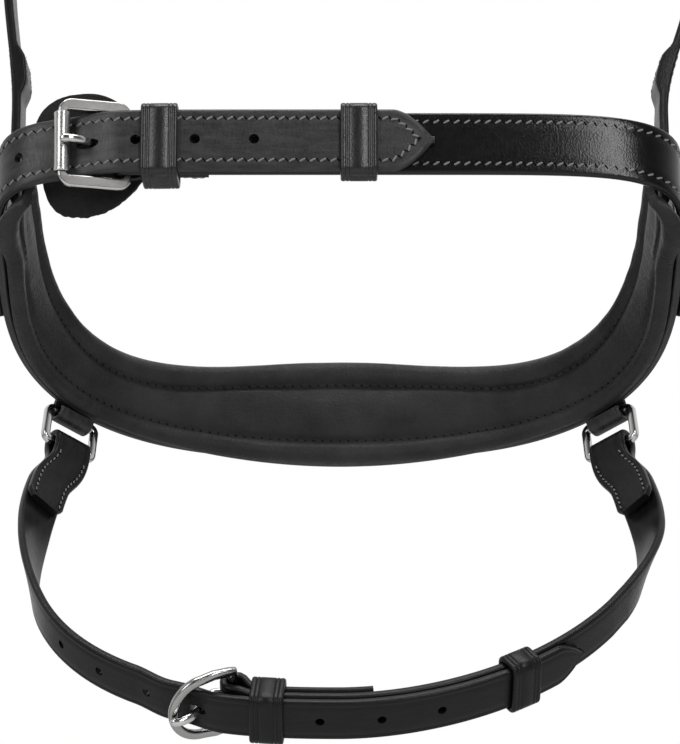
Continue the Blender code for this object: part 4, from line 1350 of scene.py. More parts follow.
@dataclass
class Closure:
    """A buckle with its tongue and keepers, on a route where the billet's tip runs to higher s."""

    name: str
    route: Route
    width: float
    billet_thickness: float
    strap_thickness: float
    hinge_at: float
    span: float
    tilt: float
    bar_radius: float
    lead_q: float
    sink: float = 0.0
    shoulder: float = 0.0
    tip_length: float = 11 * MM
    hinge_bar: float = 1.5 * MM
    tongue_radius: float = 1.2 * MM
    fold: float = 2.4 * MM
    fold_play: float = 0.55 * MM
    fold_run: float = 6.5 * MM
    fold_reach: float = 12 * MM
    fold_step: float = 1.2 * MM
    return_step: float = 1.6 * MM
    billet_step: float = 1.8 * MM
    tip_step: float = 0.7 * MM
    dip_before: float = 16 * MM
    dip_run: float = 14 * MM
    rise_play: float = 1.5 * MM
    tip_least: float = 0.10
    tongue_share: float = 0.60
    slot_play: float = 0.6 * MM
    slot_extra: float = 3 * MM
    hole_stretch: float = 2.2 * MM
    tongue_play: float = 0.1 * MM
    keeper_wall: float = 1.6 * MM
    keeper_play: float = 0.45 * MM
    keeper_corner: float = 1.3 * MM
    keeper_rounding: float = 0.8 * MM
    groove_insets: tuple[float, float] = (3.0 * MM, 1.75 * MM)
    groove_depth: float = 0.20 * MM
    groove_half: float = 0.28 * MM

    def __post_init__(self) -> None:
        """Work out the bars' places and the layers' heights."""
        self.wrap = self.hinge_bar + self.fold_play + self.fold
        self.hinge_q = self.strap_thickness - self.wrap - self.sink
        tilt = math.radians(self.tilt)
        self.bar_at = self.hinge_at - self.span * math.cos(tilt)
        self.bar_q = self.hinge_q + self.span * math.sin(tilt)
        self.over_q = self.strap_thickness + GAP + self.billet_thickness / 2
        dip = self.shoulder * self.span * math.sin(tilt)
        self.under_q = self.bar_q - self.bar_radius - GAP - dip - self.billet_thickness / 2

    def billet_q(self, s: float) -> float:
        """Height of the billet's middle over the route.

        Args:
            s: The arc length.

        Returns:
            The height.
        """
        before = ease((s - (self.bar_at - self.dip_before)) / self.dip_run)
        first = self.lead_q + (self.under_q - self.lead_q) * before
        run = self.hinge_at - self.bar_at - 2 * self.rise_play
        rise = ease((s - self.bar_at - self.rise_play) / run)
        return first + (self.over_q - first) * rise

    def billet_face(self, s: float) -> float:
        """Height of the billet's outer face."""
        return self.billet_q(s) + self.billet_thickness / 2

    def tip_width(self, s: float, tip: float) -> float:
        """Width of the billet, which runs to a point at its tip."""
        share = max(0.0, (s - (tip - self.tip_length)) / self.tip_length)
        return self.width * max(self.tip_least, 1 - share ** 1.7)

    def return_q(self, s: float) -> float:
        """Height of the middle of the strap's turned-back end.

        Args:
            s: The arc length.

        Returns:
            The height.
        """
        at_bar = self.hinge_q - self.wrap + self.fold / 2
        sewn = -GAP - self.fold / 2
        return at_bar + (sewn - at_bar) * ease((s - self.hinge_at - self.hinge_bar) / self.fold_run)

    def layers_low(self, at: float, length: float) -> float:
        """How deep the turned-back end lies under a keeper."""
        return self.return_q(at - length / 2) - self.fold / 2 - GAP / 2

    def fold_stations(self, turn_back: float) -> list[Station]:
        """The buckle strap's end: round the hinge bar and back along its inner side.

        Args:
            turn_back: Length of the turned-back end.

        Returns:
            The stations, from the strap round the bar to its end.
        """
        rest_q = self.strap_thickness / 2
        middle = self.wrap - self.fold / 2
        stations = []
        for s in spread(self.hinge_at + self.fold_reach, self.hinge_at + MM, self.fold_step):
            share = ease((self.hinge_at + self.hinge_bar + self.fold_run - s) / self.fold_run)
            q = rest_q + (self.hinge_q + middle - rest_q) * share
            thickness = self.strap_thickness + (self.fold - self.strap_thickness) * share
            stations.append(Station(s, q, self.width, thickness))
        for x, y in arc(middle, 90, 270, 18):
            stations.append(Station(self.hinge_at + x, self.hinge_q + y, self.width, self.fold))
        for s in spread(self.hinge_at + self.return_step, self.hinge_at + turn_back, self.return_step):
            stations.append(Station(s, self.return_q(s), self.width, self.fold))
        return stations

    def buckle_strap(self, far: float, turn_back: float, lead: Sequence[Station],
                     profile: StrapProfile) -> bpy.types.Mesh:
        """The strap that carries the buckle, slotted for the tongue.

        Args:
            far: Arc length where the plain strap starts.
            turn_back: Length of the turned-back end.
            lead: Stations of the strap's far end.
            profile: The strap's section.

        Returns:
            The strap.
        """
        stations = list(lead)
        for s in spread(far, self.hinge_at + self.fold_reach + MM, STEP):
            stations.append(Station(s, self.strap_thickness / 2, self.width, self.strap_thickness))
        stations += self.fold_stations(turn_back)
        spot = self.route.at(self.hinge_at)
        length = 2 * self.wrap + self.slot_extra
        size = Matrix.Diagonal((length, 2 * (self.tongue_radius + self.slot_play), length * 1.2, 1.0))
        shift = Matrix.Translation(spot.outward * self.hinge_q - spot.along * MM)
        slot = mesh_by(self.name + "_slot",
                       lambda bm: bmesh.ops.create_cube(bm, size=1.0, matrix=shift @ spot.flat() @ size))
        return punched(strap_mesh(self.name, self.route, stations, profile, -1), slot)

    def billet(self, start: float, tip: float, lead: Sequence[Station], profile: StrapProfile,
               holes: Sequence[float], radius: float) -> bpy.types.Mesh:
        """The strap with holes, threaded under the outer bar and over the hinge.

        Args:
            start: Arc length where the plain billet starts.
            tip: Arc length of its tip.
            lead: Stations of its sewn end.
            profile: The strap's section.
            holes: Arc lengths of the holes.
            radius: Their radius.

        Returns:
            The billet.
        """
        stations = list(lead)
        places = spread(start, tip - self.tip_length, self.billet_step)
        places += spread(tip - self.tip_length, tip, self.tip_step)[1:]
        for s in places:
            stations.append(Station(s, self.billet_q(s), self.tip_width(s, tip), self.billet_thickness))
        mesh = strap_mesh(self.name, self.route, stations, profile)
        return punched(mesh, self._punches(holes, radius))

    def tongue_hole(self) -> float:
        """Arc length where the tongue comes up through the billet."""
        return self.hinge_at - self.tongue_share * (self.hinge_at - self.bar_at)

    def hole_places(self, first: float, pitch: float, count: int) -> list[float]:
        """Arc lengths of the holes, the nearest of them moved under the tongue.

        Args:
            first: Arc length of the hole next to the tip.
            pitch: From hole to hole.
            count: Number of holes.

        Returns:
            The holes' arc lengths.
        """
        places = [first - i * pitch for i in range(count)]
        nearest = min(places, key=lambda s: abs(s - self.tongue_hole()))
        return [self.tongue_hole() if s == nearest else s for s in places]

    def _punches(self, places: Sequence[float], radius: float) -> bpy.types.Mesh:
        """Cutters for the holes, with a long one for the tongue.

        Args:
            places: Arc lengths of the holes.
            radius: Their radius.

        Returns:
            The cutters as one mesh.
        """
        def build(bm: bmesh.types.BMesh) -> None:
            """Add one cutter for each hole.

            Args:
                bm: The bmesh that takes them.
            """
            for s in places:
                spot = self.route.at(s)
                tongue = s == self.tongue_hole()
                length = 2 * (self.tongue_radius + radius) + self.hole_stretch
                stretch = length / (2 * radius) if tongue else 1.0
                matrix = Matrix.Translation(spot.outward * self.billet_q(s)) @ spot.flat()
                matrix = matrix @ Matrix.Diagonal((stretch, 1.0, 1.0, 1.0))
                bmesh.ops.create_cone(bm, cap_ends=True, segments=24, radius1=radius, radius2=radius,
                                      depth=3 * self.billet_thickness, matrix=matrix)
        return mesh_by(self.name + "_punches", build)

    def tongue_points(self) -> Outline:
        """The tongue's middle line as (along, outward) from the hinge bar.

        Returns:
            The line from the curl to the tip.
        """
        eye = self.hinge_bar + self.fold_play + self.tongue_radius
        points = arc(eye, -30, 235, 24)
        reach = self.hinge_at - self.bar_at
        lift = self.bar_q - self.hinge_q
        clear = self.bar_radius + GAP + self.tongue_radius * 0.8 + self.tongue_play
        marks = [points[-1], (-reach * 0.34, -eye * 0.62), (-reach * 0.46, -eye * 0.10),
                 (-reach * 0.56, (lift + clear) * 0.46), (-reach * 0.68, (lift + clear) * 0.78),
                 (-reach * 0.86, (lift + clear) * 0.97), (-reach - self.bar_radius * 0.1, lift + clear)]
        return points + smoothed(marks, 5)[1:]

    def tongue(self) -> bpy.types.Mesh:
        """The tongue, curled round the hinge bar and resting on the outer bar.

        Returns:
            The tongue.
        """
        spot = self.route.at(self.hinge_at)
        line = self.tongue_points()
        path = [spot.point(x, self.hinge_q + y) for x, y in line]
        tail = len(path) - 20
        tip = [0.86 + 0.36 * ease((i + 1) / 12) for i in range(16)] + [1.20, 1.10, 0.88, 0.5]
        scales = [1.0 - 0.14 * ease((i - tail + 12) / 12) for i in range(tail)] + tip
        section = oval(self.tongue_radius, self.tongue_radius, 2.3, 14)
        return sweep(self.name + "_tongue", path, spot.across, section, scales)

    def buckle_matrix(self) -> Matrix:
        """Local X runs from the hinge bar to the outer bar, tilted outward.

        Returns:
            The buckle's placement.
        """
        spot = self.route.at(self.hinge_at)
        turn = Matrix.Rotation(math.radians(self.tilt), 4, "Y")
        flip = Matrix.Diagonal((-1.0, 1.0, 1.0, 1.0))
        return Matrix.Translation(spot.outward * self.hinge_q) @ spot.flat() @ turn @ flip

    def keeper(self, at: float, length: float, low: float, high: float) -> bpy.types.Mesh:
        """A leather loop with two pressed lines along each edge, round the layers.

        Args:
            at: Arc length of its middle.
            length: Its length along the strap.
            low: Height of the layers' inner face.
            high: Height of their outer face.

        Returns:
            The keeper.
        """
        spot = self.route.at(at)
        half = self.width / 2 + self.keeper_play
        path = rounded_rectangle(-half, half, low - self.keeper_play, high + self.keeper_play,
                                 self.keeper_corner)
        path = filled(path, STEP)
        rows, along = [], [0.0]
        for i, (x, y) in enumerate(path):
            (x0, y0), (x1, y1) = path[i - 1], path[(i + 1) % len(path)]
            length_2d = math.hypot(x1 - x0, y1 - y0)
            nx, ny = (y1 - y0) / length_2d, -(x1 - x0) / length_2d
            rows.append([spot.point(u, y + ny * h, x + nx * h) for u, h in self._keeper_section(length)])
            if i:
                along.append(along[-1] + math.hypot(x - x0, y - y0))
        return mesh_of_grid(self.name + "_keeper", rows, along, looped=True)

    def _keeper_section(self, length: float) -> Outline:
        """The keeper's section as (along the strap, outward).

        Args:
            length: The keeper's length along the strap.

        Returns:
            The section's points.
        """
        wall, half, r = self.keeper_wall, length / 2, self.keeper_rounding
        right = [(0.0, wall)]
        for inset in self.groove_insets:
            groove = half - inset
            right += [(groove - self.groove_half, wall), (groove, wall - self.groove_depth),
                      (groove + self.groove_half, wall)]
        right += [(half - r, wall),
                 (half - r * 0.62, wall - r * 0.08), (half - r * 0.29, wall - r * 0.29),
                 (half - r * 0.08, wall - r * 0.62), (half, wall - r), (half, r * 0.5), (half - r * 0.5, 0.0)]
        left = [(-u, h) for u, h in reversed(right)]
        return left[:-1] + right

    def place_keepers(self, prefix: str, body: str, places: tuple[float, float], length: float,
                      finish: bpy.types.Material, under: float = 0.0) -> None:
        """Make and place the fixed and the sliding leather loop.

        Args:
            prefix: First word of the pieces' and the nodes' names.
            body: The body that the fixed loop rides on.
            places: Arc lengths of the fixed and the sliding loop.
            length: Length of each along the strap.
            finish: Their leather.
            under: Thickness of what the fixed loop holds besides the strap.
        """
        top = self.strap_thickness + GAP + self.billet_thickness
        low = self.layers_low(places[0], length) - under
        loops = (("near_buckle", body, "fixed", low),
                 ("runner", f"{prefix}_keeper_sliding", "sliding", 0.0))
        for at, (word, carrier, state, bottom) in zip(places, loops):
            loop = Piece(f"{prefix}_keeper_{word}", carrier, Slot.LEATHER, (f"{prefix}_keeper_{state}",))
            loop.place(self.keeper(at, length, bottom, top), finish)


def mesh_by(name: str, build: Callable[[bmesh.types.BMesh], object]) -> bpy.types.Mesh:
    """Run a bmesh builder and return its mesh with the faces pointing out.

    Args:
        name: The mesh's name.
        build: What fills the bmesh.

    Returns:
        The mesh.
    """
    bm = bmesh.new()
    build(bm)
    bmesh.ops.recalc_face_normals(bm, faces=bm.faces)
    mesh = bpy.data.meshes.new(name)
    bm.to_mesh(mesh)
    bm.free()
    return mesh


def smoothed(marks: Outline, steps: int) -> Outline:
    """A smooth curve through a few points.

    Args:
        marks: The points that the curve passes.
        steps: Number of steps between two of them.

    Returns:
        The curve's points.
    """
    points = []
    for i in range(len(marks) - 1):
        p0, p1 = marks[max(i - 1, 0)], marks[i]
        p2, p3 = marks[i + 1], marks[min(i + 2, len(marks) - 1)]
        for k in range(steps):
            t = k / steps
            weights = (-t + 2 * t ** 2 - t ** 3, 2 - 5 * t ** 2 + 3 * t ** 3,
                       t + 4 * t ** 2 - 3 * t ** 3, -t ** 2 + t ** 3)
            points.append(tuple(sum(w * p[axis] for w, p in zip(weights, (p0, p1, p2, p3))) / 2
                                for axis in (0, 1)))
    return points + [marks[-1]]


def filled(path: Outline, step: float) -> Outline:
    """A closed outline with points added along its long stretches.

    Args:
        path: The outline.
        step: The longest stretch that stays.

    Returns:
        The fuller outline.
    """
    points = []
    for i, (x, y) in enumerate(path):
        x1, y1 = path[(i + 1) % len(path)]
        count = max(1, math.ceil(math.hypot(x1 - x, y1 - y) / step))
        points += [(x + (x1 - x) * k / count, y + (y1 - y) * k / count) for k in range(count)]
    return points


# Padding


@dataclass(frozen=True)
class Stuffing:
    """How cloth simulation swells a pad between its pinned seams.

    Attributes:
        pressure: Air pressure inside the pad.
        slack: Share by which the cover is cut larger than its form.
        cap: The furthest that a point may move.
        frames: Number of simulated frames.
        evening: Number of rows over which the swelling is evened out.
    """

    pressure: float = 4.0
    slack: float = 0.004
    cap: float = 0.8 * MM
    frames: int = 20
    evening: int = 3

    def _evened(self, shift: np.ndarray, row: int) -> np.ndarray:
        """Even the swelling out along the pad, so that its channels stay free of lumps.

        Args:
            shift: Each point's movement, row after row.
            row: Number of points in a row.

        Returns:
            The evened movement.
        """
        reach = 3 * self.evening
        weights = np.exp(-0.5 * (np.arange(-reach, reach + 1) / self.evening) ** 2)
        weights /= weights.sum()
        count = len(shift) // row
        grid = np.pad(shift[:count * row].reshape(count, row, 3), ((reach, reach), (0, 0), (0, 0)), "edge")
        even = sum(weight * grid[k:k + count] for k, weight in enumerate(weights))
        return np.vstack([even.reshape(-1, 3), shift[count * row:]])

    def swell(self, mesh: bpy.types.Mesh, pinned: Sequence[int], row: int) -> None:
        """Simulate the cover and write the result into the mesh.

        Args:
            mesh: The pad's closed mesh, changed in place.
            pinned: Indices of the points that seams and backing hold.
            row: Number of points in each row across the pad.
        """
        scene = bpy.context.scene
        rest = np.array([v.co for v in mesh.vertices])
        holder = bpy.data.objects.new("pad_form", mesh)
        scene.collection.objects.link(holder)
        group = holder.vertex_groups.new(name="seams")
        group.add(list(pinned), 1.0, "REPLACE")
        cloth = holder.modifiers.new("swell", "CLOTH")
        settings = cloth.settings
        settings.quality = 6
        settings.mass = 0.2
        settings.tension_stiffness = 30
        settings.compression_stiffness = 30
        settings.bending_stiffness = 4
        settings.use_pressure = True
        settings.uniform_pressure_force = self.pressure
        settings.shrink_min = -self.slack
        settings.vertex_group_mass = "seams"
        settings.effector_weights.gravity = 0
        cloth.point_cache.frame_start = 1
        cloth.point_cache.frame_end = self.frames
        for number in range(1, self.frames + 1):
            scene.frame_set(number)
        evaluated = holder.evaluated_get(bpy.context.evaluated_depsgraph_get())
        swollen = np.array([v.co for v in evaluated.data.vertices])
        shift = swollen - rest
        reach = np.linalg.norm(shift, axis=1)[:, None]
        shift *= np.minimum(1.0, self.cap / np.maximum(reach, 1e-9))
        shift[~np.isfinite(shift)] = 0.0
        shift = self._evened(shift, row)
        bpy.data.objects.remove(holder, do_unlink=True)
        mesh.vertices.foreach_set("co", (rest + shift).ravel())
        mesh.update()
        scene.frame_set(1)
        LOG.info("pad cover moved up to %.1f mm", float(np.linalg.norm(shift, axis=1).max()) * 1000)


@dataclass(frozen=True)
class PadProfile:
    """Section of a channelled pad: flat against its backing, lobed on the soft side.

    Attributes:
        seams: Places of the quilted seams as shares of the half width.
        seam_depth: Share of the thickness that a seam pulls in.
        across: Number of points over the soft side.
    """

    seams: tuple[float, ...]
    seam_depth: float
    across: int = 46

    def height(self, share: float) -> float:
        """Height of the soft side, as a share of the thickness, at a share of the half width.

        Args:
            share: The place as a share of the half width.

        Returns:
            The height.
        """
        bounds = [-1.0, *self.seams, 1.0]
        for low, high in zip(bounds, bounds[1:]):
            if share <= high or high == 1.0:
                break
        middle, half = (low + high) / 2, (high - low) / 2
        x = min(1.0, abs(share - middle) / half)
        outer = (low == -1.0 and share < middle) or (high == 1.0 and share > middle)
        base = 0.22 if outer else 1.0 - self.seam_depth
        return base + (1.0 - base) * max(0.0, 1 - x ** 2.2) ** 0.6

    def points(self, width: float, thickness: float) -> tuple[Outline, list[int]]:
        """The section and the indices that seams or backing hold.

        Args:
            width: The pad's width.
            thickness: Its full thickness.

        Returns:
            Points as (across, outward) with the soft side inward, and the held indices.
        """
        half = width / 2
        outline, held = [], []
        count = self.across
        for i in range(count + 1):
            share = -math.cos(math.pi * i / count) * 0.35 + (2 * i / count - 1) * 0.65
            outline.append((share * half, -thickness * self.height(share)))
            spacing = 1.2 / count
            if any(abs(share - seam) < spacing for seam in self.seams):
                held.append(i)
        held += [0, count]
        flat = [(share, 0.0) for share in (0.955, 0.6, 0.0, -0.3, -0.45, -0.6, -0.7, -0.8, -0.88, -0.955)]
        back = [(0.99, 0.12), *flat, (-0.99, 0.12)]
        for share, depth in back:
            held.append(len(outline))
            outline.append((share * half, -thickness * depth))
        return outline, held


def pinned_in_row(number: int, last: int, count: int, held: Sequence[int]) -> list[int]:
    """The points of a pad's row that its seams or backing hold, or all of them in an end row.

    Args:
        number: The row's number.
        last: The last row's number.
        count: Number of points in a row.
        held: Places in the row of the points that are held.

    Returns:
        The points' indices in the pad's mesh.
    """
    places = range(count) if number in (0, last) else held
    return [number * count + k for k in places]


def place_pad(name: str, node: str, rows: list[list[Vector]], along: Sequence[float],
              pinned: Sequence[int], finish: bpy.types.Material) -> bpy.types.Object:
    """Skin a pad, let it swell between its seams and place it.

    Args:
        name: The object's name.
        node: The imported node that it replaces.
        rows: The pad's cross-sections.
        along: Distance along at each of them.
        pinned: Indices of the points that seams and backing hold.
        finish: Its leather.

    Returns:
        The object.
    """
    mesh = mesh_of_grid(name, rows, along)
    Stuffing().swell(mesh, pinned, len(rows[0]))
    return Piece(name, "bridle", Slot.SOFT, (node,)).place(mesh, finish, sharp=80)


# The noseband


@dataclass
class Noseband:
    """Outer leather over the nose with its three-channel lining."""

    finishes: Finishes
    shape: RingLine
    ring: Route
    leather_width: float = 32 * MM
    leather_thickness: float = 3.4 * MM
    leather_start_y: float = 38 * MM
    thinned_full_y: float = 34 * MM
    thinned_from_y: float = 22 * MM
    thinned_least: float = 0.6 * MM
    leather_growth: float = 140 * MM
    jaw_width: float = 22 * MM
    pad_width: float = 41 * MM
    pad_side_width: float = 28 * MM
    pad_side_at: float = 95 * MM
    pad_thickness: float = 9 * MM
    pad_start_y: float = 7 * MM
    pad_lift_until_y: float = 37 * MM
    pad_lift_ramp: float = 22 * MM
    pad_play: float = 0.5 * MM
    pad_tilt: float = 0.44
    pad_cover: float = 1.4 * MM
    lip_ramp: float = 5.0 * MM
    lip_extra: float = 4.5 * MM
    lip_until: float = 18 * MM
    lip_fade: float = 20 * MM
    lip_curl: float = 2.5 * MM
    step_ramp: float = 4.0 * MM
    head_foot_inset: float = 4.8 * MM
    lower_seam: float = -0.56
    upper_seam: float = 0.51
    seam_dip: float = 0.18
    seam_dip_at: float = 86 * MM
    seam_dip_half: float = 55 * MM
    seam_depth: float = 0.18
    seam_depth_front: float = 0.32
    seam_pull: float = 0.75 * MM
    seam_pull_half: float = 1.7 * MM
    end_run: float = 10 * MM
    end_width: float = 0.88
    end_thickness: float = 0.6
    crease_fade: float = 20 * MM
    crease_clear: float = 3 * MM
    fold_height: float = 0.26 * MM
    wrinkle_height: float = 0.14 * MM
    points_across: int = 60
    leather_step: float = 2.2 * MM
    pad_step: float = 2.4 * MM
    pad_reach: float = 3 * MM
    step_clear: float = 1 * MM
    quilt_inset: float = 4 * MM
    needle_height: float = 20 * MM
    stitch_in: float = 3.2 * MM
    section: StrapProfile = StrapProfile(1.1 * MM, 1.7 * MM, layered=True)
    quilting: Stitching = Stitching(3.3 * MM, 2.3 * MM, 0.38 * MM, 4.0, 1.4 * MM)

    def build(self) -> None:
        """Make the outer leather and the lining."""
        self._leather()
        self._pad()

    def leather_width_at(self, s: float, start: float, end: float) -> float:
        """Width of the outer leather at arc length s."""
        share = ease(min(s - start, end - s) / self.leather_growth)
        return self.jaw_width + (self.leather_width - self.jaw_width) * share

    def _leather(self) -> None:
        """The outer leather with a row of stitches along each edge."""
        start = self.shape.side_at(self.ring, 1, self.leather_start_y)
        end = self.ring.length - start
        full = self.shape.side_at(self.ring, 1, self.thinned_full_y)
        zero = self.shape.side_at(self.ring, 1, self.thinned_from_y)
        stations = []
        for s in spread(zero, self.ring.length - zero, self.leather_step):
            inset = min(s, self.ring.length - s) - zero
            thickness = self.leather_thickness * ease(inset / (full - zero))
            if thickness > self.thinned_least:
                width = self.leather_width_at(s, start, end)
                stations.append(Station(s, GAP + thickness / 2, width, thickness))
        mesh = strap_mesh("nose_leather", self.ring, stations, self.section)
        Piece("nose_leather", "bridle", Slot.LEATHER, ("nose_band",)).place(mesh, self.finishes.leather)
        face = GAP + self.leather_thickness
        rows = edge_rows(self.ring, spread(start + STEP, end - STEP, STEP), lambda s: face,
                         lambda s: self.leather_width_at(s, start, end) / 2 - self.stitch_in)
        Stitching().sew("nose_leather_stitches", "bridle", rows, self.finishes.thread, self.finishes.slit)

    def seams_at(self, s: float) -> tuple[float, float]:
        """Places of the two seams at arc length s, as shares of the half width."""
        off = (abs(s - self.ring.length / 2) - self.seam_dip_at) / self.seam_dip_half
        return self.lower_seam, self.upper_seam - self.seam_dip * max(0.0, 1 - off ** 2) ** 2

    def lip_at(self, inset: float) -> float:
        """Added width of the lining's lower edge at a distance from its end."""
        return self.lip_extra * (1 - ease((inset - self.lip_until) / self.lip_fade))

    @staticmethod
    def stretched(across: float, width: float, low: float) -> float:
        """A place across the lining, moved down with its widened lower edge."""
        return across - low * max(0.0, -2 * across / width) ** 2

    def pad_size(self, s: float, start: float, end: float) -> tuple[float, float, float, float]:
        """Width, thickness, lift and tilt of the lining at arc length s.

        Args:
            s: The arc length.
            start: Where the lining starts.
            end: Where it ends.

        Returns:
            The four sizes, the tilt as a share of the thickness.
        """
        inset = min(s - start, end - s)
        share = ease(1 - abs(s - self.ring.length / 2) / self.pad_side_at)
        width = self.pad_side_width + (self.pad_width - self.pad_side_width) * share
        full = ease(inset / self.end_run)
        width *= self.end_width + (1 - self.end_width) * full
        lift_start = self.shape.side_at(self.ring, 1, self.pad_lift_until_y)
        low, high = lift_start, self.ring.length - lift_start
        height = self.head_foot_inset + 2 * GAP - self.pad_play
        forward = min(abs(s - low), abs(s - high)) / self.pad_lift_ramp
        lift = height * (1 - ease(forward)) if low < s < high else height
        thickness = self.pad_thickness * (self.end_thickness + (1 - self.end_thickness) * full)
        return width, thickness, lift, self.pad_tilt * (1 - share)

    def _pad(self) -> None:
        """The quilted lining, swollen between its seams by simulation."""
        start = self.shape.side_at(self.ring, 1, self.pad_start_y)
        end = self.ring.length - start
        rows, along, pinned = [], [], []
        places = spread(start, end, self.pad_step)
        for number, s in enumerate(places):
            width, thickness, lift, tilt = self.pad_size(s, start, end)
            seams = self.seams_at(s)
            deeper = (self.seam_depth_front - self.seam_depth) * (1 - tilt / self.pad_tilt)
            profile = PadProfile(seams, self.seam_depth + deeper, self.points_across)
            outline, held = profile.points(width, thickness)
            spot = self.ring.at(s, self.pad_reach)
            inset = min(s - start, end - s)
            fade = ease(inset / self.crease_fade)
            low = self.lip_at(inset)
            row = []
            for index, (a, b) in enumerate(outline):
                across = self.stretched(a, width, low)
                beyond = -across - self.jaw_width / 2 - self.step_clear
                raised = lift * ease(-beyond / self.step_ramp)
                raised -= self.lip_curl * low / self.lip_extra * ease(beyond / self.lip_ramp)
                depth = raised - b
                if index <= profile.across:
                    off = min(abs(a - seam * width / 2) for seam in seams)
                    depth = -b * (1 - tilt * (0.5 - a / width))
                    depth -= self._creases(s, a / width) * fade * min(1.0, off / self.crease_clear)
                    depth -= self.seam_pull * math.exp(-(off / self.seam_pull_half) ** 2)
                    depth = softer_of(depth, raised + self.pad_cover)
                row.append(spot.point(0.0, -self.pad_play - depth, across))
            pinned += pinned_in_row(number, len(places) - 1, len(outline), held)
            rows.append(row)
            along.append(s - start)
        pad = place_pad("nose_lining", "nose_pad", rows, along, pinned, self.finishes.soft)
        pad.modifiers.new("smooth", "SUBSURF").render_levels = 1
        bpy.context.view_layer.update()
        cover = BVHTree.FromObject(pad, bpy.context.evaluated_depsgraph_get())
        self._quilting(start, end, cover)

    def _creases(self, s: float, share: float) -> float:
        """Height of the soft folds that run across the lining.

        Args:
            s: The arc length.
            share: The place across, as a share of the width.

        Returns:
            The height.
        """
        fold = noise.noise(Vector((s * 130, share * 2.0, 3.0))) * self.fold_height
        wrinkle = noise.noise(Vector((s * 520, share * 4.0, 9.0))) * self.wrinkle_height
        return fold + wrinkle

    def _quilting(self, start: float, end: float, cover: BVHTree) -> None:
        """Two rows of dark stitches, each where its channel lies on the swollen cover.

        Args:
            start: Arc length where the lining starts.
            end: Arc length where it ends.
            cover: The cover's faces.
        """
        rows = []
        for side in (0, 1):
            row = []
            for s in spread(start + self.quilt_inset, end - self.quilt_inset, STEP):
                width = self.pad_size(s, start, end)[0]
                spot = self.ring.at(s, self.pad_reach)
                low = self.lip_at(min(s - start, end - s))
                across = self.stretched(self.seams_at(s)[side] * width / 2, width, low)
                hit = cover.ray_cast(spot.point(0.0, -self.needle_height, across), spot.outward)[0]
                if hit is not None:
                    row.append((hit, spot.along, -spot.outward))
            rows.append(row)
        self.quilting.sew("quilting", "bridle", rows, self.finishes.black_thread, self.finishes.slit)


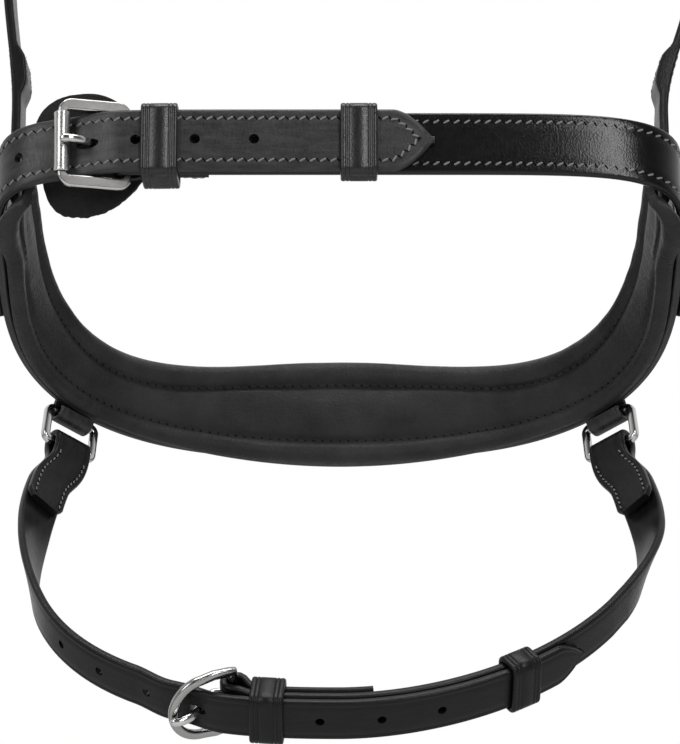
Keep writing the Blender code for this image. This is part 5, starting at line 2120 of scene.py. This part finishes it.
@dataclass
class JawStrap:
    """The jaw strap with its roller buckle, keepers and suede guard."""

    finishes: Finishes
    shape: RingLine
    ring: Route
    width: float = 22 * MM
    billet_thickness: float = 3.2 * MM
    strap_thickness: float = 3.0 * MM
    buckle_span: float = 22.5 * MM
    buckle_tilt: float = 18.0
    nose_leather: float = 3.4 * MM
    nose_leather_start_y: float = 38 * MM
    lap_y: float = 66 * MM
    lap_ramp_y: float = 22 * MM
    lap_over: float = 4 * MM
    lap_end_width: float = 0.65
    lap_end_run: float = 4 * MM
    hinge_at: float = -72.5 * MM
    tip_at: float = 32 * MM
    tip_length: float = 14 * MM
    first_hole: float = -29 * MM
    hole_pitch: float = 20 * MM
    hole_count: int = 6
    hole_radius: float = 1.75 * MM
    turn_back: float = 28 * MM
    rail: float = 4.2 * MM
    buckle_corner: float = 5 * MM
    buckle_play: float = 0.6 * MM
    window_corner: float = 1.2 * MM
    frame_rounding: float = 0.75 * MM
    flat_above: float = 0.97
    roller_radius: float = 2.8 * MM
    roller_play: float = 0.6 * MM
    roller_lip: float = 0.35 * MM
    roller_waist: float = 0.12 * MM
    fixed_keeper_at: float = -61 * MM
    sliding_keeper_at: float = 6.4 * MM
    keeper_length: float = 12.5 * MM
    guard_start: float = -107 * MM
    guard_end: float = -46 * MM
    guard_height: float = 44 * MM
    guard_neck: float = 19 * MM
    guard_rise: float = 0.6 * MM
    guard_thickness: float = 2.6 * MM
    guard_tear: float = 1.0 * MM
    guard_wave: float = 0.25 * MM
    guard_play: float = 0.9 * MM
    guard_round_share: float = 0.38
    guard_narrow_share: float = 0.5
    guard_least: float = 0.45
    guard_step: float = 1 * MM
    stitch_in: float = 3.5 * MM
    stitch_turn: float = 1 * MM
    stitch_tip: float = 5.5 * MM
    stitch_stop: float = 16 * MM
    guard_section: StrapProfile = StrapProfile(0.6 * MM)
    section: StrapProfile = StrapProfile(1.1 * MM, 3.5 * MM, 0.22 * MM, 0.95 * MM, 0.28 * MM, True)
    closure: Closure = field(init=False)

    def __post_init__(self) -> None:
        """Set out the buckle."""
        self.closure = Closure("jaw", self.ring, self.width, self.billet_thickness, self.strap_thickness,
                               self.hinge_at, self.buckle_span, self.buckle_tilt, self.roller_radius,
                               self.billet_thickness / 2, tip_length=self.tip_length)

    def build(self) -> None:
        """Make every piece at the jaw."""
        self._billet()
        self._buckle_strap()
        self._buckle()
        self._keepers()
        self._guard()

    @property
    def sunk(self) -> float:
        """How far the stitches lie below the strap's face."""
        return self.section.crease_depth * 0.7

    def _lap(self, side: int, thickness: float) -> tuple[list[Station], float]:
        """The sewn end outside the nose leather, and where it comes down to the jaw.

        Args:
            side: -1 for the left and 1 for the right.
            thickness: The strap's thickness.

        Returns:
            The lap's stations, and the arc length of its foot.
        """
        end = self.shape.side_at(self.ring, side, self.lap_y)
        over = self.shape.side_at(self.ring, side, self.nose_leather_start_y - self.lap_over)
        down = self.shape.side_at(self.ring, side, self.lap_ramp_y)
        stations = []
        for s in spread(end, down, STEP):
            share = ease(abs(s - down) / abs(over - down))
            q = thickness / 2 + (self.nose_leather + 3 * GAP) * share
            full = ease(abs(s - end) / self.lap_end_run)
            width = self.width * (self.lap_end_width + (1 - self.lap_end_width) * full)
            stations.append(Station(s, q, width, thickness))
        return stations, down

    def _lap_rows(self, lead: Sequence[Station], thickness: float) -> list[Row]:
        """Stitch rows along both edges of a lap.

        Args:
            lead: The lap's stations.
            thickness: The strap's thickness.

        Returns:
            The two rows.
        """
        middles = {station.s: station.q for station in lead[2:]}
        return edge_rows(self.ring, list(middles), lambda s: middles[s] + thickness / 2 - self.sunk,
                         lambda s: self.width / 2 - self.stitch_in)

    def _billet(self) -> None:
        """The strap with holes from the left, stitched round its pointed tip."""
        lead, start = self._lap(-1, self.billet_thickness)
        places = self.closure.hole_places(self.first_hole, self.hole_pitch, self.hole_count)
        mesh = self.closure.billet(start + STEP, self.tip_at, lead, self.section, places, self.hole_radius)
        Piece("jaw_billet_strap", "bridle", Slot.LEATHER, ("jaw_billet",)).place(mesh, self.finishes.leather)
        turn = self.tip_at - self.tip_length - self.stitch_turn
        rows = self._lap_rows(lead, self.billet_thickness)
        for side in (-1, 1):
            edge = side * (self.width / 2 - self.stitch_in)
            marks = spread(start + STEP, turn, STEP)
            rows.append(edge_row(self.ring, marks, lambda s: self.closure.billet_face(s) - self.sunk,
                                 lambda s: edge))
            tip = self.tip_at - self.stitch_tip
            rows.append(edge_row(self.ring, spread(turn, tip, STEP / 2), self.closure.billet_face,
                                 lambda s: edge * (1 - ((s - turn) / (tip - turn)) ** 1.5)))
        Stitching().sew("jaw_billet_stitches", "bridle", rows, self.finishes.thread, self.finishes.slit)

    def _buckle_strap(self) -> None:
        """The strap from the right, folded round the hinge bar."""
        lead, start = self._lap(1, self.strap_thickness)
        mesh = self.closure.buckle_strap(start - STEP, self.turn_back, lead, self.section)
        Piece("jaw_buckle_strap_leather", "bridle", Slot.LEATHER,
              ("jaw_buckle_strap",)).place(mesh, self.finishes.glossy)
        rows = self._lap_rows(lead, self.strap_thickness)
        rows += edge_rows(self.ring, spread(start - STEP, self.hinge_at + self.stitch_stop, STEP),
                          lambda s: self.strap_thickness - self.sunk,
                          lambda s: self.width / 2 - self.stitch_in)
        Stitching().sew("jaw_buckle_strap_stitches", "bridle", rows, self.finishes.thread, self.finishes.slit)

    def _buckle(self) -> None:
        """Square frame with brush-finished flats in a darker tint of painted shade, polished bevels, its
        roller and its tongue.
        """
        closure = self.closure
        half = self.width / 2 + self.buckle_play
        bar = closure.hinge_bar
        outer = rounded_rectangle(-bar, closure.span + bar, -half - self.rail, half + self.rail,
                                  self.buckle_corner, 10)
        inner = rounded_rectangle(bar, closure.span - bar, -half, half, self.window_corner)
        matrix = closure.buckle_matrix()
        mesh = plate_mesh("jaw_buckle_frame", [outer, inner], 2 * bar, self.frame_rounding, matrix)
        made = place_steel("jaw_buckle_frame", "jaw_buckle", mesh, self.finishes.brushed_and_shaded,
                           self.finishes.polished, sharp=30)
        # Faces square to the frame take the darker copy with painted shade; the bevels take polished steel.
        flat = matrix.to_3x3() @ Vector((0, 0, 1))
        for polygon in made.data.polygons:
            polygon.material_index = 0 if abs(polygon.normal.dot(flat)) > self.flat_above else 1
        self._roller(matrix)
        place_steel("jaw_buckle_tongue", "jaw_tongue", closure.tongue(), self.finishes.polished)

    def _roller(self, matrix: Matrix) -> None:
        """Sleeve with rolled ends that turns on the outer bar.

        Args:
            matrix: The buckle's placement.
        """
        placed = matrix @ Matrix.Translation((self.closure.span, 0, 0))
        half = (self.width - self.roller_play) / 2
        bore, radius, lip = self.closure.hinge_bar * 1.42, self.roller_radius, self.roller_lip
        end = [(bore, half), (radius - lip, half), (radius, half - lip), (radius, half - 3 * lip),
               (radius - self.roller_waist, half - 4 * lip)]
        profile = [(r, -h) for r, h in end] + end[::-1]
        rows, sides = [], 28
        for k in range(sides):
            angle = 2 * math.pi * k / sides
            rows.append([placed @ Vector((r * math.cos(angle), h, r * math.sin(angle))) for r, h in profile])
        mesh = mesh_of_grid("roller_sleeve", rows, [k * MM for k in range(sides)], looped=True)
        place_steel("roller_sleeve", "jaw_roller", mesh, self.finishes.satin)

    def _keepers(self) -> None:
        """The fixed and the sliding leather loop."""
        places = self.fixed_keeper_at, self.sliding_keeper_at
        self.closure.place_keepers("jaw", "bridle", places, self.keeper_length, self.finishes.burnished,
                                   self.guard_play + self.guard_thickness)

    def _guard(self) -> None:
        """Suede flap behind the buckle, with a raw cut edge."""
        neck_at = self.fixed_keeper_at - self.keeper_length / 2
        rows, along = [], []
        for s in spread(self.guard_start, self.guard_end, self.guard_step):
            run = (s - self.guard_start) / (neck_at - self.guard_start)
            rounding = math.sqrt(max(0.0, 1 - (1 - min(run / self.guard_round_share, 1.0)) ** 2))
            beyond = (run - self.guard_narrow_share) / (1 - self.guard_narrow_share)
            narrow = min(max(0.0, beyond), 1.0) ** 2
            broad = self.guard_height * (self.guard_least + (1 - self.guard_least) * rounding)
            height = broad * (1 - narrow) + self.guard_neck * narrow
            q = self.closure.return_q(s) - self.closure.fold / 2 - self.guard_play - self.guard_thickness / 2
            rise = self.guard_rise * rounding * (1 - narrow)
            spot = self.ring.at(s)
            row = []
            for a, b in self.guard_section.points(height, self.guard_thickness):
                edge = abs(a) / (height / 2)
                torn = self.guard_tear if a < 0 else 0.3 * self.guard_tear
                ragged = noise.noise(Vector((s * 430, a * 300, b * 500))) * torn * ease(edge * 4 - 3)
                wave = noise.noise(Vector((s * 60, a * 60, 1.0))) * self.guard_wave
                row.append(spot.point(0.0, q + b + wave, a + rise + math.copysign(ragged, a)))
            rows.append(row)
            along.append(s)
        mesh = mesh_of_grid("buckle_guard", rows, along)
        guard = Piece("buckle_guard", "bridle", Slot.SUEDE,
                      ("guard_pad",)).place(mesh, self.finishes.suede, sharp=80)


@dataclass
class FlashStrap:
    """The lower strap with its rings, tabs, horseshoe buckle and keepers."""

    finishes: Finishes
    shape: RingLine
    ring: Route
    line: FlashLine
    route: Route
    width: float = 15.5 * MM
    thickness: float = 2.8 * MM
    hinge_at: float = -30.5 * MM
    tip_at: float = 90 * MM
    lap_length: float = 20 * MM
    first_hole: float = 36.3 * MM
    hole_pitch: float = 19 * MM
    hole_count: int = 8
    hole_radius: float = 1.5 * MM
    buckle_span: float = 21 * MM
    buckle_tilt: float = 34.0
    buckle_sink: float = 2.0 * MM
    buckle_shoulder: float = 0.22
    turn_back: float = 46 * MM
    ring_turn_back: float = 39 * MM
    return_run: float = 12 * MM
    strap_run: float = 14 * MM
    end_blend: float = 30 * MM
    wire: float = 1.6 * MM
    fixed_keeper_at: float = -18.5 * MM
    sliding_keeper_at: float = 65 * MM
    keeper_length: float = 11 * MM
    tab_width: float = 15 * MM
    tab_thickness: float = 1.7 * MM
    tab_step: float = 1.5 * MM
    tab_over: float = 2 * MM
    tab_back: float = 1.6 * MM
    tab_section: StrapProfile = StrapProfile(0.7 * MM, 1.3 * MM)
    ring_corner: float = 2.0 * MM
    ring_step: float = 1.5 * MM
    run_step: float = 1.6 * MM
    return_end_width: float = 0.75
    return_end_run: float = 3 * MM
    stitch_from: float = 6 * MM
    stitch_until: float = 2 * MM
    stitch_in: float = 2.2 * MM
    section: StrapProfile = StrapProfile(0.95 * MM, 1.9 * MM)
    stitching: Stitching = Stitching(2.6 * MM, 2.2 * MM, 0.28 * MM, 14.0, 1.2 * MM)
    closure: Closure = field(init=False)

    def __post_init__(self) -> None:
        """Set out the buckle."""
        self.closure = Closure("flash", self.route, self.width, self.thickness, self.thickness,
                               self.hinge_at, self.buckle_span, self.buckle_tilt, self.wire, 0.0,
                               self.buckle_sink, self.buckle_shoulder)

    def build(self) -> None:
        """Make the rings, tabs, straps, buckle and keepers."""
        for side in Side:
            self._ring(side)
            self._tab(side)
            self._return_stitches(side)
        self._straps()
        self._buckle()
        self._keepers()

    def _ring(self, side: Side) -> None:
        """A rectangular steel ring of squared bar.

        Args:
            side: The ring's side.
        """
        hung = self.line.hang(self.ring, self.shape, side.value)
        half = self.line.inner_width / 2 + self.line.wire
        outline = rounded_rectangle(-half, half, -self.line.inner_height - 2 * self.line.wire, 0.0,
                                    self.ring_corner, 8)
        outline = filled(outline, STEP)
        up = -hung.hang
        normal = hung.bar.cross(up)
        path = [hung.upper + hung.bar * x + up * y for x, y in outline]
        section = oval(self.line.wire, self.line.wire, 3.4, 20)
        mesh = sweep("ring", path, normal, section, closed=True)
        name = side.name.lower()
        Piece("ring_bar_" + name, "flash", Slot.STEEL,
              ("flash_ring_" + name,)).place(mesh, self.finishes.polished)

    def _tab(self, side: Side) -> None:
        """The leather tab that holds the ring under the noseband.

        Args:
            side: The tab's side.
        """
        hung = self.line.hang(self.ring, self.shape, side.value)
        turn = self.line.wire + self.line.play + self.tab_thickness / 2
        bar_q = (hung.upper - hung.foot.origin).dot(hung.foot.outward)
        bar_w = (hung.upper - hung.foot.origin).dot(hung.foot.across)
        path = [(w, bar_q + turn) for w in spread(-self.tab_over, bar_w + MM, self.tab_step)]
        path += [(bar_w - y, bar_q + x) for x, y in arc(turn, 0, 180, 18)]
        path.append((bar_w + self.tab_back, bar_q - turn))
        rows, along = [], []
        for i, (w, q) in enumerate(path):
            (w0, q0), (w1, q1) = path[max(i - 1, 0)], path[min(i + 1, len(path) - 1)]
            length = math.hypot(w1 - w0, q1 - q0)
            nw, nq = (q1 - q0) / length, -(w1 - w0) / length
            narrow = 1 - 0.3 * (1 - ease(i / 3)) if i < 4 else 1.0
            rows.append([hung.foot.point(a, q + nq * b, w + nw * b)
                         for a, b in self.tab_section.points(self.tab_width * narrow, self.tab_thickness)])
            along.append(i * self.tab_step)
        name = side.name.lower()
        tab = Piece("tab_" + name, "bridle", Slot.LEATHER, ("ring_tab_" + name,))
        tab.place(mesh_of_grid("tab", rows, along), self.finishes.leather)

    def ring_end(self, side: int) -> list[Station]:
        """The strap's end folded through its ring, from the sewn return to the strap.

        Args:
            side: -1 for the left and 1 for the right.

        Returns:
            The end's stations.
        """
        wrap = self.line.wire + GAP + self.thickness / 2
        edge = side * self.route.length / 2
        stations = []
        for d in spread(self.ring_turn_back, self.ring_step, self.ring_step):
            full = ease((self.ring_turn_back - d) / self.return_end_run)
            width = self.width * (self.return_end_width + (1 - self.return_end_width) * full)
            stations.append(Station(edge - side * d, self._return_q(d), width, self.thickness))
        for x, y in arc(wrap, -90, -270, 20):
            stations.append(Station(edge - side * x, y, self.width, self.thickness))
        for d in spread(self.ring_step, self.strap_run, self.run_step):
            q = wrap * (1 - ease(d / self.strap_run))
            stations.append(Station(edge - side * d, q, self.width, self.thickness))
        return stations

    def _return_q(self, d: float) -> float:
        """Height of the return's middle at a distance from the ring."""
        wrap = self.line.wire + GAP + self.thickness / 2
        return -wrap + (wrap - self.thickness - GAP) * ease(d / self.return_run)

    def _return_stitches(self, side: Side) -> None:
        """Light stitches along both edges of the sewn return.

        Args:
            side: The return's side.
        """
        edge = side.value * self.route.length / 2
        last = self.ring_turn_back - self.stitch_until
        places = [edge - side.value * d for d in spread(self.stitch_from, last, STEP / 2)]
        rows = edge_rows(self.route, places, lambda s: self._return_q(abs(edge - s)) - self.thickness / 2,
                         lambda s: self.width / 2 - self.stitch_in, face=-1)
        name = "return_stitches_" + side.name.lower()
        self.stitching.sew(name, "flash", rows, self.finishes.thread, self.finishes.slit)

    def _straps(self) -> None:
        """The billet from the left ring and the buckle strap from the right one."""
        start = self.strap_run + MM - self.route.length / 2
        places = self.closure.hole_places(self.first_hole, self.hole_pitch, self.hole_count)
        mesh = self.closure.billet(start, self.tip_at, self.ring_end(-1), self.section, places,
                                   self.hole_radius)
        Piece("flash_billet_strap", "flash", Slot.LEATHER, ("flash_billet",)).place(mesh, self.finishes.dull)
        lead = self.ring_end(1)
        far = self.route.length / 2 - self.strap_run
        lap_end = self.tip_at + self.lap_length
        for s in spread(far - MM, lap_end + self.lap_length / 2, STEP):
            share = ease((far - s) / self.end_blend)
            lead.append(Station(s, self.thickness / 2 * share, self.width, self.thickness))
        mesh = self.closure.buckle_strap(lap_end, self.turn_back, lead, self.section)
        Piece("flash_buckle_strap_leather", "flash", Slot.LEATHER,
              ("flash_buckle_strap",)).place(mesh, self.finishes.dull)

    def _buckle(self) -> None:
        """Horseshoe buckle of flattened bar, in a darker steel of painted shade, with its tongue."""
        mesh = horseshoe(self.closure, "horseshoe_frame", self.wire)
        place_steel("horseshoe_frame", "flash_buckle", mesh, self.finishes.worn)
        place_steel("horseshoe_tongue", "flash_tongue", self.closure.tongue(), self.finishes.polished)

    def _keepers(self) -> None:
        """The fixed and the sliding leather loop."""
        places = self.fixed_keeper_at, self.sliding_keeper_at
        self.closure.place_keepers("flash", "flash", places, self.keeper_length, self.finishes.dull)


def horseshoe(closure: Closure, name: str, wire: float, straight_share: float = 0.52,
              side_play: float = 1.8 * MM, bulge: float = 1.06, flatness: float = 0.86) -> bpy.types.Mesh:
    """Round-ended frame of flattened bar with its hinge bar across the open end.

    Args:
        closure: The buckle's closure.
        name: The mesh's name.
        wire: Half of the bar's thickness.
        straight_share: Share of the length that has straight sides.
        side_play: Room between strap and frame at each side.
        bulge: How much wider the frame is between its corners.
        flatness: The bar's height as a share of its width.

    Returns:
        The frame.
    """
    half = closure.width / 2 + side_play + wire
    end = closure.span
    straight = end * straight_share
    marks = [(0.0, half * 0.5), (0.0, half), (straight * 0.6, half * bulge), (straight, half)]
    steps = 20
    for i in range(1, steps):
        angle = math.pi / 2 - math.pi * i / steps
        marks.append((straight + (end - straight) * math.cos(angle), half * math.sin(angle)))
    marks += [(x, -y) for x, y in reversed(marks[:4])]
    matrix = closure.buckle_matrix()
    outline = filled(marks, 1.6 * MM)
    path = [matrix @ Vector((x, y, 0.0)) for x, y in outline]
    normal = (matrix.to_3x3() @ Vector((0, 0, 1))).normalized()
    return sweep(name, path, normal, oval(wire, wire * flatness, 2.7, 18), closed=True)


@dataclass
class Headpiece:
    """The strap over the poll, the left hanger, their buckle and the poll pad."""

    finishes: Finishes
    route: Route
    width: float = 16 * MM
    thickness: float = 3.2 * MM
    foot_trim: float = 9.5 * MM
    doubled_from: float = 46 * MM
    doubled_to: float = 67 * MM
    doubled_extra: float = 2.4 * MM
    doubled_ramp: float = 7 * MM
    hinge_at: float = 262 * MM
    tip_beyond: float = 78 * MM
    hole_pitch: float = 20 * MM
    hole_count: int = 5
    first_hole_beyond: float = 36 * MM
    hole_radius: float = 1.5 * MM
    buckle_span: float = 17.5 * MM
    buckle_tilt: float = 28.0
    buckle_shoulder: float = 0.22
    wire: float = 1.6 * MM
    turn_back: float = 30 * MM
    fixed_keeper_beyond: float = 13 * MM
    sliding_keeper_beyond: float = 58 * MM
    keeper_length: float = 9 * MM
    pad_length: float = 150 * MM
    pad_width: float = 40 * MM
    pad_thickness: float = 7 * MM
    pad_end_run: float = 12 * MM
    pad_end_width: float = 0.7
    pad_end_thickness: float = 0.5
    pad_step: float = 2.5 * MM
    pad_reach: float = 4 * MM
    stitch_from: float = 2 * MM
    stitch_until: float = 3 * MM
    stitch_step: float = 1.5 * MM
    stitch_in: float = 2.6 * MM
    section: StrapProfile = StrapProfile(1.0 * MM, 1.9 * MM, layered=True)
    stitching: Stitching = Stitching(3.2 * MM, 2.4 * MM, 0.24 * MM, 18.0, 1.3 * MM)
    closure: Closure = field(init=False)

    def __post_init__(self) -> None:
        """Set out the buckle."""
        self.closure = Closure("head", self.route, self.width, self.thickness, self.thickness,
                               self.hinge_at, self.buckle_span, self.buckle_tilt, self.wire,
                               self.thickness / 2, 0.0, self.buckle_shoulder)

    def build(self) -> None:
        """Make the straps, buckle, keepers and pad."""
        self._straps()
        self._buckle()
        self._pad()

    def _from_foot(self, sign: int, d: float) -> float:
        """Arc length at a distance d from the right (-1) or the left (1) foot."""
        return d - self.route.zero if sign < 0 else self.route.length - self.route.zero - d

    def _foot(self, sign: int) -> list[Station]:
        """The end between lining and leather, with its second layer above the noseband.

        Args:
            sign: -1 for the right foot and 1 for the left.

        Returns:
            The foot's stations.
        """
        stations = []
        for d in spread(self.foot_trim, self.doubled_to, STEP):
            extra = self._extra(d)
            stations.append(Station(self._from_foot(sign, d), (self.thickness - extra) / 2, self.width,
                                    self.thickness + extra))
        return stations

    def _extra(self, d: float) -> float:
        """Added thickness at a distance from the foot."""
        inside = min(d - self.doubled_from, self.doubled_to - d) / self.doubled_ramp
        return self.doubled_extra * ease(inside)

    def _straps(self) -> None:
        """The headpiece and the hanger, each with its stitched foot."""
        closure = self.closure
        tip = self.hinge_at + self.tip_beyond
        places = closure.hole_places(self.hinge_at + self.first_hole_beyond, self.hole_pitch, self.hole_count)
        plain = self.doubled_to + STEP
        mesh = closure.billet(self._from_foot(-1, plain), tip, self._foot(-1), self.section,
                              places, self.hole_radius)
        Piece("headpiece_strap", "bridle", Slot.LEATHER, ("headpiece",)).place(mesh, self.finishes.dull)
        mesh = closure.buckle_strap(self._from_foot(1, plain), self.turn_back, self._foot(1), self.section)
        Piece("hanger_strap", "bridle", Slot.LEATHER, ("hanger_left",)).place(mesh, self.finishes.dull)
        first, last = self.doubled_from + self.stitch_from, self.doubled_to - self.stitch_until
        rows = []
        for sign in (-1, 1):
            depths = {self._from_foot(sign, d): d for d in spread(first, last, self.stitch_step)}
            for face, height in ((1, lambda s: self.thickness), (-1, lambda s: -self._extra(depths[s]))):
                rows += edge_rows(self.route, list(depths), height,
                                  lambda s: self.width / 2 - self.stitch_in, face)
        self.stitching.sew("hanger_stitches", "bridle", rows, self.finishes.thread, self.finishes.slit)

    def _buckle(self) -> None:
        """Small horseshoe buckle with its tongue and keepers."""
        mesh = horseshoe(self.closure, "hanger_frame", self.wire)
        place_steel("hanger_buckle_frame", "hanger_buckle", mesh, self.finishes.polished)
        place_steel("hanger_buckle_tongue", "hanger_tongue", self.closure.tongue(), self.finishes.polished)
        places = self.hinge_at + self.fixed_keeper_beyond, self.hinge_at + self.sliding_keeper_beyond
        self.closure.place_keepers("hanger", "bridle", places, self.keeper_length, self.finishes.dull)

    def _pad(self) -> None:
        """The soft pad under the poll, flat where it rests."""
        half = self.pad_length / 2
        rows, along, pinned = [], [], []
        places = spread(-half, half, self.pad_step)
        profile = PadProfile((), 0.2, 30)
        for number, s in enumerate(places):
            inset = half - abs(s)
            full = ease(inset / self.pad_end_run)
            width = self.pad_width * (self.pad_end_width + (1 - self.pad_end_width) * full)
            thickness = self.pad_thickness * (self.pad_end_thickness + (1 - self.pad_end_thickness) * full)
            outline, held = profile.points(width, thickness)
            spot = self.route.at(s, self.pad_reach)
            rows.append([spot.point(0.0, -GAP + b, a) for a, b in outline])
            pinned += pinned_in_row(number, len(places) - 1, len(outline), held)
            along.append(s)
        pad = place_pad("poll_cushion", "poll_pad", rows, along, pinned, self.finishes.soft)


# The studio


@dataclass(frozen=True)
class Lamp:
    """A soft rectangular light."""

    name: str
    place: Vector
    aim: Vector
    size: tuple[float, float]
    power: float

    def build(self) -> None:
        """Hang the light."""
        data = bpy.data.lights.new(self.name, "AREA")
        data.shape = "RECTANGLE"
        data.size, data.size_y = self.size
        data.energy = self.power
        lamp = bpy.data.objects.new(self.name, data)
        lamp.location = self.place
        lamp.rotation_euler = (self.aim - self.place).to_track_quat("-Z", "Y").to_euler()
        bpy.context.scene.collection.objects.link(lamp)


@dataclass
class Studio:
    """Camera, lights, floor and background."""

    shape: RingLine
    camera_distance: float = 850 * MM
    camera_below: float = 20.2
    camera_tilt: float = 15.0
    lens: float = 120.48
    floor_z: float = -1150 * MM
    floor_size: float = 60.0
    floor_glow: float = 0.70
    floor_gleam: float = 0.12
    fill: float = 0.30
    room: float = 0.12
    room_from: float = -0.55
    room_to: float = 0.25

    def build(self) -> None:
        """Set the scene up."""
        self._camera()
        self._world()
        self._floor()
        self._lamps()
        bpy.context.scene.view_settings.view_transform = "Standard"

    def _camera(self) -> None:
        """The photograph's viewpoint, behind and below the jaw."""
        data = bpy.data.cameras.new("camera")
        data.sensor_width = 36
        data.lens = self.lens
        camera = bpy.data.objects.new("camera", data)
        below = math.radians(self.camera_below)
        back = Vector((0, math.cos(below), math.sin(below))) * self.camera_distance
        tilt = math.radians(self.camera_tilt)
        camera.location = self.shape.middle - back
        camera.rotation_euler = (math.pi / 2 + tilt, 0, 0)
        bpy.context.scene.collection.objects.link(camera)
        bpy.context.scene.camera = camera

    def _world(self) -> None:
        """White backdrop, dimmer room behind the camera, plain light on the object."""
        world = bpy.data.worlds.new("studio")
        world.use_nodes = True
        bpy.context.scene.world = world
        nodes, links = world.node_tree.nodes, world.node_tree.links
        background = nodes["Background"]
        place = nodes.new("ShaderNodeTexCoord")
        split = nodes.new("ShaderNodeSeparateXYZ")
        links.new(place.outputs["Generated"], split.inputs["Vector"])
        around = nodes.new("ShaderNodeMapRange")
        for name, number in (("From Min", self.room_from), ("From Max", self.room_to),
                             ("To Min", self.room), ("To Max", 1.0)):
            around.inputs[name].default_value = number
        links.new(split.outputs["Y"], around.inputs["Value"])
        strength = by_ray(world.node_tree, self.fill,
                          (("Is Glossy Ray", around.outputs["Result"]),
                           ("Is Transmission Ray", 1.0), ("Is Camera Ray", 1.0)))
        background.inputs["Color"].default_value = (1, 1, 1, 1)
        links.new(strength, background.inputs["Strength"])

    def _floor(self) -> None:
        """A plain pale floor, seen from above only."""
        bm = bmesh.new()
        bmesh.ops.create_grid(bm, x_segments=8, y_segments=8, size=self.floor_size)
        bmesh.ops.translate(bm, vec=(0, 0, self.floor_z), verts=bm.verts)
        mesh = bpy.data.meshes.new("floor")
        bm.to_mesh(mesh)
        bm.free()
        floor = bpy.data.objects.new("floor", mesh)
        bpy.context.scene.collection.objects.link(floor)
        tree = Tree("floor_paint")
        tree.set(Base_Color=(0.86, 0.86, 0.86, 1), Roughness=0.9, Emission_Color=(1, 1, 1, 1))
        glow = by_ray(tree.material.node_tree, 0.0,
                      (("Is Glossy Ray", self.floor_gleam), ("Is Transmission Ray", self.floor_glow),
                       ("Is Camera Ray", self.floor_glow)))
        tree.to(glow, "Emission Strength")
        clear = tree.nodes.new("ShaderNodeBsdfTransparent")
        mix = tree.nodes.new("ShaderNodeMixShader")
        geometry = tree.nodes.new("ShaderNodeNewGeometry")
        output = tree.nodes["Material Output"]
        tree.links.new(geometry.outputs["Backfacing"], mix.inputs["Fac"])
        tree.links.new(tree.shader.outputs["BSDF"], mix.inputs[1])
        tree.links.new(clear.outputs["BSDF"], mix.inputs[2])
        tree.links.new(mix.outputs["Shader"], output.inputs["Surface"])
        mesh.materials.append(tree.material)

    def _lamps(self) -> None:
        """Soft light from above and narrow boxes at both sides behind the camera."""
        aim = self.shape.middle + Vector((0, 30, -60)) * MM
        lamps = (
            Lamp("top_light", aim + Vector((0.0, -0.35, 1.5)), aim, (1.2, 0.5), 16),
            Lamp("left_light", aim + Vector((-0.95, -1.15, 0.50)), aim, (0.55, 1.0), 8.5),
            Lamp("right_light", aim + Vector((0.58, -1.26, 0.50)), aim, (0.26, 1.1), 10),
            Lamp("low_light", aim + Vector((0.0, -1.2, -1.2)), aim, (1.2, 0.3), 3),
        )
        for lamp in lamps:
            lamp.build()


def main() -> None:
    """Build the noseband from the nose outward, then the studio."""
    logging.basicConfig(level=logging.INFO, format="%(message)s")
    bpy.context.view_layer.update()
    finishes = Finishes()
    shape = RingLine()
    ring = shape.route()
    line = FlashLine()
    Noseband(finishes, shape, ring).build()
    JawStrap(finishes, shape, ring).build()
    FlashStrap(finishes, shape, ring, line, line.route(ring, shape)).build()
    Headpiece(finishes, HeadLine().route(shape)).build()
    Studio(shape).build()


if __name__ == "__main__":
    main()
